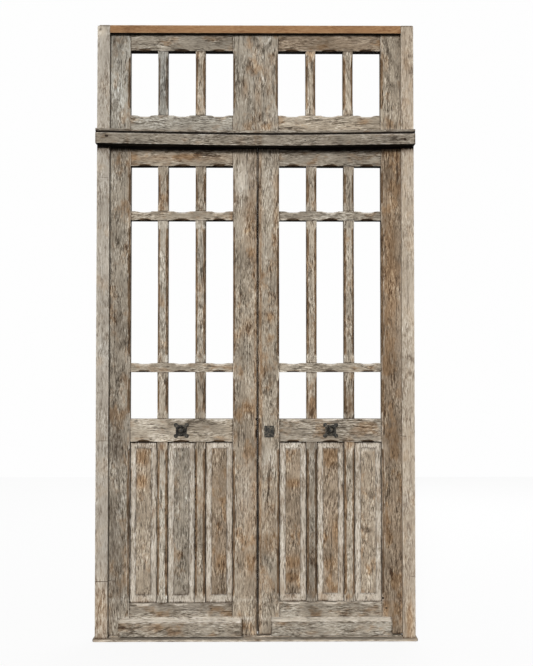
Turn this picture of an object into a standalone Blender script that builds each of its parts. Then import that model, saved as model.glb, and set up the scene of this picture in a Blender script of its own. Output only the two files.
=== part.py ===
"""Old oak entrance double door in its frame, with a fixed transom light above the leaves.

Metres, +Z up. X runs to the right as seen from outside, the outside face looks to -Y and both
leaves open inwards, to +Y. The origin is at the middle of the sill's underside, in the plane of
the frame's outside face.
"""

import math

import bmesh
import bpy
from mathutils import Vector

# Frame
FRAME_WIDTH = 1.520
FRAME_HEIGHT = 2.936
FRAME_DEPTH = 0.068
JAMB_FACE_WIDTH = 0.061
REVEAL = 0.022
REBATE_COVER = 0.015
HEAD_HEIGHT = 0.038
SILL_THICKNESS = 0.010
SILL_NOSE = 0.020
SILL_HORN = 0.008
SILL_CORNER_RADIUS = 0.012
SILL_EDGE_ROUND = 0.003

# Transom rail and the drip moulding nailed over it
TRANSOM_RAIL_HEIGHT = 0.055
TRANSOM_RAIL_LIP = 0.018
MOULDING_HEIGHT = 0.078
MOULDING_RISE = 0.003
MOULDING_PROJECTION = 0.045
MOULDING_SAG = 0.012
MOULDING_SEGMENTS = 10
MOULDING_FACE_HEIGHT = 0.052
MOULDING_QUIRK_DEPTH = 0.007
MOULDING_QUIRK_HEIGHT = 0.006
MOULDING_QUIRK_SLOPE = 0.002
MOULDING_FILLET_SET_BACK = 0.003
MOULDING_TOP_FALL = 0.004

# Fixed transom light
TRANSOM_LIGHT_HEIGHT = 0.473
TRANSOM_SIDE_STILE_WIDTH = 0.1115
TRANSOM_CENTRE_STILE_WIDTH = 0.219
TRANSOM_TOP_RAIL_HEIGHT = 0.080
TRANSOM_BOTTOM_RAIL_HEIGHT = 0.081
TRANSOM_MULLION_WIDTH = 0.0495

# Door leaves
LEAF_THICKNESS = 0.045
LEAF_TOP_PLAY = 0.004
LEAF_FLOOR_GAP = 0.008
RIGHT_LEAF_LIFT = 0.006
EDGE_PLAY = 0.003
STOP_PLAY = 0.0005
MEETING_X = 0.0106
MEETING_GROOVE_WIDTH = 0.0114
MEETING_GAP = 0.002
MEETING_GROOVE_DEPTH = 0.010
HINGE_STILE_WIDTH = {"left": 0.1114, "right": 0.1073}
MEETING_STILE_WIDTH = {"left": 0.1139, "right": 0.0986}
MULLION_WIDTH = 0.0515
BOTTOM_RAIL_HEIGHT = 0.153
PANEL_HEIGHT = 0.764
LOCK_RAIL_HEIGHT = 0.110
LOWER_LIGHT_HEIGHT = 0.222
GLAZING_BAR_HEIGHT = 0.045
UPPER_LIGHT_HEIGHT = 0.217
TOP_RAIL_HEIGHT = 0.107
LIGHTS_ACROSS = 3

# Stopped chamfers on the front arrises
UPRIGHT_CHAMFER_WIDTH = 0.011
UPRIGHT_LAND_LENGTH = 0.024
RAIL_CHAMFER_WIDTH = 0.010
RAIL_LAND_LENGTH = 0.024
STOP_LENGTH = 0.021
STOP_STEPS = 3
WORN_ARRIS = 0.001

# Raised panels, held by a tongue in a groove
FIELD_SINK = 0.008
FIELD_SHOULDER = 0.003
FIELD_SIDE_MARGIN = 0.028
FIELD_TOP_MARGIN = 0.030
FIELD_BOTTOM_MARGIN = 0.038
TONGUE_SINK = 0.018
TONGUE_THICKNESS = 0.009
TONGUE_REACH = 0.008
TONGUE_PLAY = 0.0006
PANEL_BACK_RISE = 0.003

# Weatherboards on the leaves' outside face
WEATHERBOARD_HEIGHT = 0.081
WEATHERBOARD_FRONT_HEIGHT = 0.071
WEATHERBOARD_PROJECTION = 0.035
WEATHERBOARD_LIFT = 0.001
WEATHERBOARD_HINGE_INSET = 0.064
WEATHERBOARD_MEETING_INSET = {"left": 0.0693, "right": 0.0566}

# Ironwork
BOSS_LOBE_OFFSET = 0.026
BOSS_LOBE_RADIUS = 0.010
BOSS_WAIST = 0.027
BOSS_PLATE_THICKNESS = 0.005
BOSS_RING_RADIUS = 0.0225
BOSS_RING_RISE = 0.006
BOSS_KNOB_RADIUS = 0.012
BOSS_KNOB_RISE = 0.013
BOSS_SIDES = 20
ESCUTCHEON_WIDTH = 0.048
ESCUTCHEON_HEIGHT = 0.055
ESCUTCHEON_THICKNESS = 0.003
ESCUTCHEON_DROP = 0.005
KEYHOLE_RADIUS = 0.0045
KEYHOLE_SLOT_WIDTH = 0.004
KEYHOLE_SLOT_LENGTH = 0.015
HINGES = 3
HINGE_END_DISTANCE = 0.284
HINGE_LENGTH = 0.140
HINGE_RADIUS = 0.0075
HINGE_SIDES = 10
HINGE_STANDOFF = 0.0085
HINGE_BLADE = 0.0025
HINGE_BLADE_BITE = 0.010
HINGE_SLIT = 0.0008

# Clearance that every joint between two pieces keeps
GAP = 0.0003

HALF_WIDTH = FRAME_WIDTH / 2
DAYLIGHT_HALF = HALF_WIDTH - JAMB_FACE_WIDTH
REBATE_HALF = DAYLIGHT_HALF + REBATE_COVER
LEAF_HALF = REBATE_HALF - EDGE_PLAY
LEAF_FRONT = REVEAL + STOP_PLAY
LEAF_BACK = LEAF_FRONT + LEAF_THICKNESS
LEAF_BOTTOM = SILL_THICKNESS + LEAF_FLOOR_GAP
HEAD_BOTTOM = FRAME_HEIGHT - HEAD_HEIGHT
TRANSOM_RAIL_TOP = HEAD_BOTTOM - TRANSOM_LIGHT_HEIGHT
TRANSOM_RAIL_BOTTOM = TRANSOM_RAIL_TOP - TRANSOM_RAIL_HEIGHT
LEAF_TOP = TRANSOM_RAIL_BOTTOM - LEAF_TOP_PLAY
HINGE_AXIS_X = LEAF_HALF + EDGE_PLAY / 2
HINGE_AXIS_Y = FRAME_DEPTH + HINGE_STANDOFF


def make_material(name, colour, roughness, metallic=0.0):
    """One plain finish."""
    material = bpy.data.materials.new(name)
    material.use_nodes = True
    shader = material.node_tree.nodes["Principled BSDF"]
    shader.inputs["Base Color"].default_value = (*colour, 1.0)
    shader.inputs["Roughness"].default_value = roughness
    shader.inputs["Metallic"].default_value = metallic
    return material


def make_object(name, bm, material=None, parent=None):
    """Turn a closed bmesh in world places into an object with its origin at its own middle."""
    bmesh.ops.recalc_face_normals(bm, faces=bm.faces[:])
    lows = [min(v.co[axis] for v in bm.verts) for axis in range(3)]
    highs = [max(v.co[axis] for v in bm.verts) for axis in range(3)]
    middle = (Vector(lows) + Vector(highs)) / 2
    bmesh.ops.translate(bm, vec=-middle, verts=bm.verts[:])
    mesh = bpy.data.meshes.new(name)
    bm.to_mesh(mesh)
    bm.free()
    obj = bpy.data.objects.new(name, mesh)
    bpy.context.scene.collection.objects.link(obj)
    obj.location = middle
    if parent is not None:
        obj.parent = parent
        obj.location = middle - parent.location
    if material is not None:
        mesh.materials.append(material)
    return obj


def make_cutter(name, bm, parent=None):
    """A guide solid that a Boolean uses and the model leaves out."""
    cutter = make_object(name, bm, parent=parent)
    cutter.hide_render = True
    cutter.display_type = "WIRE"
    return cutter


def combine(obj, tool, operation):
    """Cut one solid from another, or join it on."""
    boolean = obj.modifiers.new(tool.name, "BOOLEAN")
    boolean.operation = operation
    boolean.solver = "EXACT"
    boolean.object = tool


def loft(rings):
    """Closed mesh through a row of rings with equal numbers of points."""
    bm = bmesh.new()
    loops = [[bm.verts.new(point) for point in ring] for ring in rings]
    count = len(rings[0])
    for near, far in zip(loops, loops[1:]):
        for i in range(count):
            j = (i + 1) % count
            bm.faces.new((near[i], near[j], far[j], far[i]))
    bm.faces.new(loops[0])
    bm.faces.new(loops[-1])
    return bm


def box(low, high):
    """Closed box between two corners."""
    corners = [(low[0], low[1]), (high[0], low[1]), (high[0], high[1]), (low[0], high[1])]
    return loft([[(x, y, z) for x, y in corners] for z in (low[2], high[2])])


def chamfer_breaks(runs):
    """Places along a board where the width of a stopped chamfer changes."""
    breaks = set()
    for start, end, _ in runs:
        for step in range(STOP_STEPS + 1):
            shift = STOP_LENGTH * step / STOP_STEPS
            breaks.update((round(start + shift, 6), round(end - shift, 6)))
    return breaks


def chamfer_width(place, runs):
    """Width of a stopped chamfer at a place along the board, with an ogee at each stop."""
    for start, end, width in runs:
        if start < place < end:
            rise = min(1.0, (place - start) / STOP_LENGTH, (end - place) / STOP_LENGTH)
            return WORN_ARRIS + (width - WORN_ARRIS) * rise * rise * (3 - 2 * rise)
    return WORN_ARRIS


def section(low, high, front, back, chamfer_low, chamfer_high, step_low, step_high):
    """Cross-section of a board as points of (side, depth).

    A chamfer of None keeps its corner square. A step is (how far the back part stands out past
    the front part, how deep the front part is).
    """
    points = []
    if step_low:
        points += [(low - step_low[0], back), (low - step_low[0], front + step_low[1])]
        points.append((low, front + step_low[1]))
    else:
        points.append((low, back))
    if chamfer_low is None:
        points.append((low, front))
    else:
        points += [(low, front + chamfer_low), (low + chamfer_low, front)]
    if chamfer_high is None:
        points.append((high, front))
    else:
        points += [(high - chamfer_high, front), (high, front + chamfer_high)]
    if step_high:
        points += [(high, front + step_high[1]), (high + step_high[0], front + step_high[1])]
        points.append((high + step_high[0], back))
    else:
        points.append((high, back))
    return points


def board(name, along, span, sides, depth, material, parent=None,
          low_runs=None, high_runs=None, step_low=None, step_high=None):
    """A board that runs along X or Z, with stopped chamfers on its two front arrises."""
    start, end = span
    breaks = {start, end}
    for runs in (low_runs, high_runs):
        breaks |= chamfer_breaks(runs or [])
    rings = []
    for place in sorted(breaks):
        chamfer_low = None if low_runs is None else chamfer_width(place, low_runs)
        chamfer_high = None if high_runs is None else chamfer_width(place, high_runs)
        outline = section(*sides, *depth, chamfer_low, chamfer_high, step_low, step_high)
        if along == "z":
            rings.append([(side, deep, place) for side, deep in outline])
        else:
            rings.append([(place, deep, side) for side, deep in outline])
    return make_object(name, loft(rings), material, parent)


def upright_runs(spans):
    """Chamfers along the clear heights beside an upright."""
    return [(low + UPRIGHT_LAND_LENGTH, high - UPRIGHT_LAND_LENGTH, UPRIGHT_CHAMFER_WIDTH)
            for low, high in spans]


def rail_runs(spans):
    """Chamfers along the clear widths above or below a rail."""
    return [(low + RAIL_LAND_LENGTH, high - RAIL_LAND_LENGTH, RAIL_CHAMFER_WIDTH)
            for low, high in spans]


def clear_widths(zone, bar):
    """Equal clear widths that the bars leave between the two stiles of a zone."""
    low, high = zone
    clear = (high - low - (LIGHTS_ACROSS - 1) * bar) / LIGHTS_ACROSS
    starts = [low + i * (clear + bar) for i in range(LIGHTS_ACROSS)]
    return [(start, start + clear) for start in starts]


def bars_between(widths):
    """Sides of the bars that stand between neighbouring clear widths."""
    return [(left[1], right[0]) for left, right in zip(widths, widths[1:])]


def shrink(span):
    """A span that keeps the joint clearance at both ends."""
    return (span[0] + GAP, span[1] - GAP)


def arc(centre, radius, start, sweep, steps):
    """Points of an arc in a plane, both ends included, angles in radians."""
    angles = [start + sweep * i / steps for i in range(steps + 1)]
    return [(centre[0] + radius * math.cos(a), centre[1] + radius * math.sin(a)) for a in angles]


def build_frame(wood, new_wood):
    """Jambs, head, sill, transom rail and drip moulding."""
    lip_step = (-REBATE_COVER, REVEAL)
    jamb_span = (SILL_THICKNESS + GAP, FRAME_HEIGHT)
    jambs = {
        "left": board("jamb_left", "z", jamb_span, (-HALF_WIDTH, -DAYLIGHT_HALF),
                      (0.0, FRAME_DEPTH), wood, step_high=lip_step),
        "right": board("jamb_right", "z", jamb_span, (DAYLIGHT_HALF, HALF_WIDTH),
                       (0.0, FRAME_DEPTH), wood, step_low=lip_step),
    }
    cross_span = shrink((-REBATE_HALF, REBATE_HALF))
    head = board("head", "x", cross_span, (HEAD_BOTTOM, FRAME_HEIGHT), (0.0, FRAME_DEPTH),
                 new_wood)
    rail_sides = (TRANSOM_RAIL_BOTTOM - TRANSOM_RAIL_LIP, TRANSOM_RAIL_TOP)
    rail = board("transom_rail", "x", cross_span, rail_sides, (0.0, FRAME_DEPTH), wood,
                 step_low=(-TRANSOM_RAIL_LIP, REVEAL))
    for side, direction in (("left", -1), ("right", 1)):
        ends = sorted((direction * (DAYLIGHT_HALF - GAP), direction * HALF_WIDTH))
        lip = box((ends[0], -REVEAL, 0.0), (ends[1], REVEAL + GAP, FRAME_HEIGHT + REVEAL))
        cutter = make_cutter("lip_cutter_" + side, lip)
        combine(head, cutter, "DIFFERENCE")
        combine(rail, cutter, "DIFFERENCE")
    build_sill(wood)
    build_moulding(wood)
    return jambs


def build_sill(wood):
    """Thin sill under the jambs, with rounded front corners and a rounded upper edge."""
    end = HALF_WIDTH + SILL_HORN
    corner_y = SILL_CORNER_RADIUS - SILL_NOSE
    corner_x = end - SILL_CORNER_RADIUS
    outline = [(end, FRAME_DEPTH), (-end, FRAME_DEPTH)]
    outline += arc((-corner_x, corner_y), SILL_CORNER_RADIUS, math.pi, math.pi / 2, 4)
    outline += arc((corner_x, corner_y), SILL_CORNER_RADIUS, 1.5 * math.pi, math.pi / 2, 4)
    rings = [[(x, y, z) for x, y in outline] for z in (0.0, SILL_THICKNESS - SILL_EDGE_ROUND)]
    inset = [(x * (1 - SILL_EDGE_ROUND / end), max(y, SILL_EDGE_ROUND - SILL_NOSE))
             for x, y in outline]
    rings.append([(x, y, SILL_THICKNESS) for x, y in inset])
    make_object("sill", loft(rings), wood)


def build_moulding(wood):
    """Drip moulding with a quirk below its top fillet, sagging towards its middle."""
    quirk_floor = MOULDING_PROJECTION - MOULDING_QUIRK_DEPTH
    quirk_low = MOULDING_FACE_HEIGHT + MOULDING_QUIRK_SLOPE
    quirk_high = quirk_low + MOULDING_QUIRK_HEIGHT
    fillet_front = MOULDING_PROJECTION - MOULDING_FILLET_SET_BACK
    profile = [
        (-GAP, 0.0),
        (-MOULDING_PROJECTION, 0.0),
        (-MOULDING_PROJECTION, MOULDING_FACE_HEIGHT),
        (-quirk_floor, quirk_low),
        (-quirk_floor, quirk_high),
        (-fillet_front, quirk_high + MOULDING_QUIRK_SLOPE),
        (-fillet_front, MOULDING_HEIGHT - MOULDING_TOP_FALL),
        (-GAP, MOULDING_HEIGHT),
    ]
    end_bottom = TRANSOM_RAIL_TOP + MOULDING_RISE - MOULDING_HEIGHT
    rings = []
    for i in range(MOULDING_SEGMENTS + 1):
        share = 2 * i / MOULDING_SEGMENTS - 1
        bottom = end_bottom - MOULDING_SAG * (1 - share * share)
        rings.append([(share * HALF_WIDTH, y, bottom + z) for y, z in profile])
    make_object("transom_moulding", loft(rings), wood)


def build_transom_light(wood):
    """Fixed light: two side stiles, one wide centre stile, four rails and four mullions."""
    bottom = TRANSOM_RAIL_TOP + GAP
    top = HEAD_BOTTOM - GAP
    depth = (REVEAL + GAP, REVEAL + GAP + LEAF_THICKNESS)
    light_span = (bottom + TRANSOM_BOTTOM_RAIL_HEIGHT, top - TRANSOM_TOP_RAIL_HEIGHT)
    outer = REBATE_HALF - GAP
    inner = TRANSOM_CENTRE_STILE_WIDTH / 2
    zone_end = REBATE_HALF - TRANSOM_SIDE_STILE_WIDTH
    runs = upright_runs([light_span])
    board("transom_stile_left", "z", (bottom, top), (-outer, -zone_end), depth, wood,
          high_runs=runs)
    board("transom_stile_centre", "z", (bottom, top), (-inner, inner), depth, wood,
          low_runs=runs, high_runs=runs)
    board("transom_stile_right", "z", (bottom, top), (zone_end, outer), depth, wood,
          low_runs=runs)
    number = 0
    for side, zone in (("left", (-zone_end, -inner)), ("right", (inner, zone_end))):
        widths = clear_widths(zone, TRANSOM_MULLION_WIDTH)
        board("transom_top_rail_" + side, "x", shrink(zone), (light_span[1], top), depth, wood,
              low_runs=rail_runs(widths))
        board("transom_bottom_rail_" + side, "x", shrink(zone), (bottom, light_span[0]), depth,
              wood, high_runs=rail_runs(widths))
        for sides in bars_between(widths):
            number += 1
            board(f"transom_mullion_{number}", "z", shrink(light_span), sides, depth, wood,
                  low_runs=runs, high_runs=runs)


def leaf_levels(lift):
    """Heights where the rails, lights and panels of a leaf begin and end."""
    levels = {"bottom": LEAF_BOTTOM + lift}
    levels["panel"] = levels["bottom"] + BOTTOM_RAIL_HEIGHT
    levels["lock"] = LEAF_BOTTOM + BOTTOM_RAIL_HEIGHT + PANEL_HEIGHT
    levels["lower"] = levels["lock"] + LOCK_RAIL_HEIGHT
    levels["lower_bar"] = levels["lower"] + LOWER_LIGHT_HEIGHT
    levels["middle"] = levels["lower_bar"] + GLAZING_BAR_HEIGHT
    levels["top_rail"] = LEAF_TOP - TOP_RAIL_HEIGHT
    levels["upper"] = levels["top_rail"] - UPPER_LIGHT_HEIGHT
    levels["upper_bar"] = levels["upper"] - GLAZING_BAR_HEIGHT
    return levels


def build_leaf(side, direction, lift, wood, iron):
    """One leaf on its hinge axis; direction is -1 for the left leaf and 1 for the right one."""
    pivot = bpy.data.objects.new(side + "_leaf_axis", None)
    bpy.context.scene.collection.objects.link(pivot)
    pivot.location = (direction * HINGE_AXIS_X, HINGE_AXIS_Y, 0.0)

    levels = leaf_levels(lift)
    meeting_edge = MEETING_X + direction * MEETING_GROOVE_WIDTH / 2
    hinge_edge = direction * LEAF_HALF
    zone = sorted((hinge_edge - direction * HINGE_STILE_WIDTH[side],
                   meeting_edge + direction * MEETING_STILE_WIDTH[side]))
    widths = clear_widths(zone, MULLION_WIDTH)
    panel_span = (levels["panel"], levels["lock"])
    light_spans = {
        "lower": (levels["lower"], levels["lower_bar"]),
        "middle": (levels["middle"], levels["upper_bar"]),
        "upper": (levels["upper"], levels["top_rail"]),
    }
    depth = (LEAF_FRONT, LEAF_BACK)
    stile_runs = upright_runs([panel_span, *light_spans.values()])
    hinge_stile, meeting_stile = build_stiles(side, direction, levels["bottom"], zone,
                                              meeting_edge, stile_runs, wood, pivot)

    arrises = rail_runs(widths)
    rails = {}
    for name, low, high, below, above in (
            ("bottom_rail", levels["bottom"], levels["panel"], None, arrises),
            ("lock_rail", levels["lock"], levels["lower"], arrises, arrises),
            ("lower_glazing_bar", levels["lower_bar"], levels["middle"], arrises, arrises),
            ("upper_glazing_bar", levels["upper_bar"], levels["upper"], arrises, arrises),
            ("top_rail", levels["top_rail"], LEAF_TOP, arrises, None)):
        rails[name] = board(f"{side}_{name}", "x", shrink(zone), (low, high), depth, wood, pivot,
                            low_runs=below, high_runs=above)

    for row, span in light_spans.items():
        runs = upright_runs([span])
        for number, sides in enumerate(bars_between(widths), start=1):
            board(f"{side}_mullion_{row}_{number}", "z", shrink(span), sides, depth, wood, pivot,
                  low_runs=runs, high_runs=runs)

    runs = upright_runs([panel_span])
    muntins = [board(f"{side}_muntin_{number}", "z", shrink(panel_span), sides, depth, wood,
                     pivot, low_runs=runs, high_runs=runs)
               for number, sides in enumerate(bars_between(widths), start=1)]
    stiles = sorted((hinge_stile, meeting_stile), key=lambda stile: stile.location.x)
    uprights = [stiles[0], *muntins, stiles[1]]
    for number, width in enumerate(widths, start=1):
        groove = build_panel(f"{side}_panel_{number}", width, panel_span, wood, pivot)
        beside = uprights[number - 1:number + 1]
        for neighbour in (*beside, rails["bottom_rail"], rails["lock_rail"]):
            combine(neighbour, groove, "DIFFERENCE")

    build_weatherboard(side, direction, hinge_edge, meeting_edge, levels["bottom"], wood, pivot)
    lock_middle = (levels["lock"] + levels["lower"]) / 2
    build_boss(side + "_boss", (sum(zone) / 2, lock_middle), iron, pivot)
    return hinge_stile, pivot


def build_stiles(side, direction, bottom, zone, meeting_edge, runs, wood, pivot):
    """Hinge stile and meeting stile; the meeting stiles leave a groove in front of their gap."""
    span = (bottom, LEAF_TOP)
    depth = (LEAF_FRONT, LEAF_BACK)
    tongue = ((MEETING_GROOVE_WIDTH - MEETING_GAP) / 2, MEETING_GROOVE_DEPTH)
    if direction < 0:
        hinge_sides, meeting_sides = (-LEAF_HALF, zone[0]), (zone[1], meeting_edge)
        hinge_form, meeting_form = {"high_runs": runs}, {"low_runs": runs, "step_high": tongue}
    else:
        hinge_sides, meeting_sides = (zone[1], LEAF_HALF), (meeting_edge, zone[0])
        hinge_form, meeting_form = {"low_runs": runs}, {"high_runs": runs, "step_low": tongue}
    hinge_stile = board(side + "_hinge_stile", "z", span, hinge_sides, depth, wood, pivot,
                        **hinge_form)
    meeting_stile = board(side + "_meeting_stile", "z", span, meeting_sides, depth, wood, pivot,
                          **meeting_form)
    return hinge_stile, meeting_stile


def build_panel(name, width, height, wood, pivot):
    """Raised panel and the cutter for the grooves that hold its tongue."""
    def rectangle(side_in, bottom_in, top_in, sink):
        """Corners of the panel's opening, drawn in by the given margins, at one depth."""
        low_x, high_x = width[0] + side_in, width[1] - side_in
        low_z, high_z = height[0] + bottom_in, height[1] - top_in
        y = LEAF_FRONT + sink
        return [(low_x, y, low_z), (high_x, y, low_z), (high_x, y, high_z), (low_x, y, high_z)]

    field = (FIELD_SIDE_MARGIN, FIELD_BOTTOM_MARGIN, FIELD_TOP_MARGIN)
    seat = TONGUE_SINK + TONGUE_THICKNESS
    rings = [
        rectangle(*field, FIELD_SINK),
        rectangle(*field, FIELD_SINK + FIELD_SHOULDER),
        rectangle(GAP, GAP, GAP, TONGUE_SINK - GAP),
        rectangle(-TONGUE_REACH, -TONGUE_REACH, -TONGUE_REACH, TONGUE_SINK),
        rectangle(-TONGUE_REACH, -TONGUE_REACH, -TONGUE_REACH, seat),
        rectangle(GAP, GAP, GAP, seat),
        rectangle(PANEL_BACK_RISE, PANEL_BACK_RISE, PANEL_BACK_RISE, seat + PANEL_BACK_RISE),
    ]
    make_object(name, loft(rings), wood, pivot)
    reach = -(TONGUE_REACH + TONGUE_PLAY)
    groove = loft([rectangle(reach, reach, reach, TONGUE_SINK - TONGUE_PLAY),
                   rectangle(reach, reach, reach, seat + TONGUE_PLAY)])
    return make_cutter(name + "_groove", groove, pivot)


def build_weatherboard(side, direction, hinge_edge, meeting_edge, leaf_bottom, wood, pivot):
    """Drip board on the foot of a leaf, with a sloping top."""
    ends = sorted((hinge_edge - direction * WEATHERBOARD_HINGE_INSET,
                   meeting_edge + direction * WEATHERBOARD_MEETING_INSET[side]))
    bottom = leaf_bottom + WEATHERBOARD_LIFT
    back = LEAF_FRONT - GAP
    front = back - WEATHERBOARD_PROJECTION
    profile = [
        (back, bottom),
        (front + WORN_ARRIS, bottom),
        (front, bottom + WORN_ARRIS),
        (front, bottom + WEATHERBOARD_FRONT_HEIGHT),
        (front + 2 * WORN_ARRIS, bottom + WEATHERBOARD_FRONT_HEIGHT + 2 * WORN_ARRIS),
        (back, bottom + WEATHERBOARD_HEIGHT),
    ]
    rings = [[(x, y, z) for y, z in profile] for x in ends]
    make_object(side + "_weatherboard", loft(rings), wood, pivot)


def build_boss(name, middle, iron, pivot):
    """Star plate with four round lobes and hollow sides, carrying a turned ring and knob."""
    outline = []
    for quarter in range(4):
        turn = quarter * math.pi / 2
        lobe = (math.sqrt(2) * BOSS_LOBE_OFFSET * math.cos(turn + math.pi / 4),
                math.sqrt(2) * BOSS_LOBE_OFFSET * math.sin(turn + math.pi / 4))
        outline += arc(lobe, BOSS_LOBE_RADIUS, turn - math.pi / 4, math.pi, 6)
        hollow = turn + math.pi / 2
        outline.append((BOSS_WAIST * math.cos(hollow), BOSS_WAIST * math.sin(hollow)))
    back = LEAF_FRONT - GAP
    front = back - BOSS_PLATE_THICKNESS
    rings = [[(middle[0] + share * u, y, middle[1] + share * v) for u, v in outline]
             for y, share in ((back, 1.0), (front + WORN_ARRIS, 1.0), (front, 0.96))]
    plate = make_object(name, loft(rings), iron, pivot)

    knob_foot = BOSS_RING_RISE / 3
    profile = [
        (BOSS_RING_RADIUS, BOSS_RING_RISE / 2),
        (BOSS_RING_RADIUS - 0.002, BOSS_RING_RISE),
        (BOSS_RING_RADIUS - 0.005, BOSS_RING_RISE),
        (BOSS_KNOB_RADIUS + 0.002, knob_foot),
        (BOSS_KNOB_RADIUS, BOSS_KNOB_RISE * 0.6),
        (BOSS_KNOB_RADIUS * 0.6, BOSS_KNOB_RISE),
    ]
    rows = [(BOSS_RING_RADIUS, -BOSS_PLATE_THICKNESS / 2), *profile]
    rings = []
    for radius, rise in rows:
        circle = arc(middle, radius, 0.0, 2 * math.pi, BOSS_SIDES)[:-1]
        rings.append([(x, front - rise, z) for x, z in circle])
    turned = make_cutter(name + "_turned", loft(rings), pivot)
    combine(plate, turned, "UNION")


def build_escutcheon(iron, pivot, middle):
    """Keyhole plate on the right meeting stile."""
    back = LEAF_FRONT - GAP
    front = back - ESCUTCHEON_THICKNESS
    half_w, half_h = ESCUTCHEON_WIDTH / 2, ESCUTCHEON_HEIGHT / 2
    rings = []
    for y, inset in ((back, 0.0), (front + WORN_ARRIS, 0.0), (front, WORN_ARRIS)):
        w, h = half_w - inset, half_h - inset
        corners = [(-w, -h), (w, -h), (w, h), (-w, h)]
        rings.append([(middle[0] + u, y, middle[1] + v) for u, v in corners])
    plate = make_object("right_escutcheon", loft(rings), iron, pivot)

    slot_half = KEYHOLE_SLOT_WIDTH / 2
    opening = math.asin(slot_half / KEYHOLE_RADIUS)
    eye = arc((0.0, 0.0), KEYHOLE_RADIUS, opening - math.pi / 2, 2 * math.pi - 2 * opening, 12)
    outline = [*eye, (-slot_half, -KEYHOLE_SLOT_LENGTH), (slot_half, -KEYHOLE_SLOT_LENGTH)]
    rings = [[(middle[0] + u, y, middle[1] + KEYHOLE_RADIUS + v) for u, v in outline]
             for y in (back + REVEAL / 2, front - REVEAL / 2)]
    combine(plate, make_cutter("keyhole_cutter", loft(rings), pivot), "DIFFERENCE")


def hinge_half(name, axis_x, blade_sides, low, high, parent=None):
    """Barrel of half a hinge with the blade that is let into the wood."""
    left, right = blade_sides
    foot = HINGE_STANDOFF + HINGE_BLADE_BITE
    start = math.atan2(-math.sqrt(HINGE_RADIUS ** 2 - right ** 2), right)
    finish = math.atan2(-math.sqrt(HINGE_RADIUS ** 2 - left ** 2), left) + 2 * math.pi
    outline = [(left, -foot), (right, -foot)]
    outline += arc((0.0, 0.0), HINGE_RADIUS, start, (finish - start) % (2 * math.pi), HINGE_SIDES)
    rings = [[(axis_x + u, HINGE_AXIS_Y + v, z) for u, v in outline] for z in (low, high)]
    return make_cutter(name, loft(rings), parent)


def build_hinges(side, direction, jamb, stile, pivot):
    """Three barrel hinges; the lower half of each is on the jamb, the upper half on the leaf."""
    axis_x = direction * HINGE_AXIS_X
    play = EDGE_PLAY / 2
    jamb_blade = sorted((direction * play, direction * (play + HINGE_BLADE)))
    leaf_blade = sorted((-direction * play, -direction * (play + HINGE_BLADE)))
    lowest = LEAF_BOTTOM + HINGE_END_DISTANCE
    spacing = (LEAF_TOP - HINGE_END_DISTANCE - lowest) / (HINGES - 1)
    for number in range(1, HINGES + 1):
        middle = lowest + (number - 1) * spacing
        low, high = middle - HINGE_LENGTH / 2, middle + HINGE_LENGTH / 2
        jamb_half = hinge_half(f"{side}_hinge_{number}_lower", axis_x, jamb_blade, low,
                               middle - HINGE_SLIT / 2)
        leaf_half = hinge_half(f"{side}_hinge_{number}_upper", axis_x, leaf_blade,
                               middle + HINGE_SLIT / 2, high, pivot)
        combine(jamb, jamb_half, "UNION")
        combine(stile, leaf_half, "UNION")


def main():
    """Build the whole door set."""
    for obj in list(bpy.data.objects):
        bpy.data.objects.remove(obj, do_unlink=True)
    oak = make_material("weathered_oak", (0.27, 0.22, 0.17), 0.85)
    jamb_oak = make_material("pale_jamb_oak", (0.40, 0.31, 0.22), 0.8)
    new_oak = make_material("new_oak", (0.45, 0.26, 0.12), 0.7)
    iron = make_material("black_iron", (0.03, 0.03, 0.03), 0.6, 0.8)

    jambs = build_frame(jamb_oak, new_oak)
    build_transom_light(oak)
    for side, direction, lift in (("left", -1, 0.0), ("right", 1, RIGHT_LEAF_LIFT)):
        stile, pivot = build_leaf(side, direction, lift, oak, iron)
        build_hinges(side, direction, jambs[side], stile, pivot)
    stile_middle = MEETING_X + MEETING_GROOVE_WIDTH / 2 + MEETING_STILE_WIDTH["right"] / 2
    levels = leaf_levels(RIGHT_LEAF_LIFT)
    plate_height = (levels["lock"] + levels["lower"]) / 2 - ESCUTCHEON_DROP
    build_escutcheon(iron, pivot, (stile_middle, plate_height))


main()
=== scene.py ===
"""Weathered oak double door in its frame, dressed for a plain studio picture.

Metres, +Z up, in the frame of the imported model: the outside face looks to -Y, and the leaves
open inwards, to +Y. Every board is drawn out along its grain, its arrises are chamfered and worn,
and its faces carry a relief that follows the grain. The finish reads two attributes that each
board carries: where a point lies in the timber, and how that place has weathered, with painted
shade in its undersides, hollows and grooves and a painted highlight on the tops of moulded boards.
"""

from __future__ import annotations

import logging
import math
from collections.abc import Callable
from dataclasses import dataclass, field
from enum import Enum

import bmesh
import bpy
import numpy as np
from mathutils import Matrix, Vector, noise


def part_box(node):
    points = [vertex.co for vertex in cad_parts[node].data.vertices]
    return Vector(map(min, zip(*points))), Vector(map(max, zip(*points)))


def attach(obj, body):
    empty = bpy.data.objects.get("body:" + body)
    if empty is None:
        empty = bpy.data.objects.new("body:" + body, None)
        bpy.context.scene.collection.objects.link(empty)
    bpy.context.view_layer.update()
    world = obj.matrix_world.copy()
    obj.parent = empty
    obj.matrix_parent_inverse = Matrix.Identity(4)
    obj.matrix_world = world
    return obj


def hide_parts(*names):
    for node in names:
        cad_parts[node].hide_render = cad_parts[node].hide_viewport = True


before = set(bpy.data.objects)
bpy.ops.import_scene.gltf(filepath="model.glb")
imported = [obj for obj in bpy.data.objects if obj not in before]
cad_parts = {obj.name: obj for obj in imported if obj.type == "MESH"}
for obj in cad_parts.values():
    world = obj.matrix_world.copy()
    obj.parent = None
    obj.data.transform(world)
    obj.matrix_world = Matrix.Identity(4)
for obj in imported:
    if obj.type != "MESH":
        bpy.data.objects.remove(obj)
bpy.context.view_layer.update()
LOG = logging.getLogger("double_door")
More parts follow.
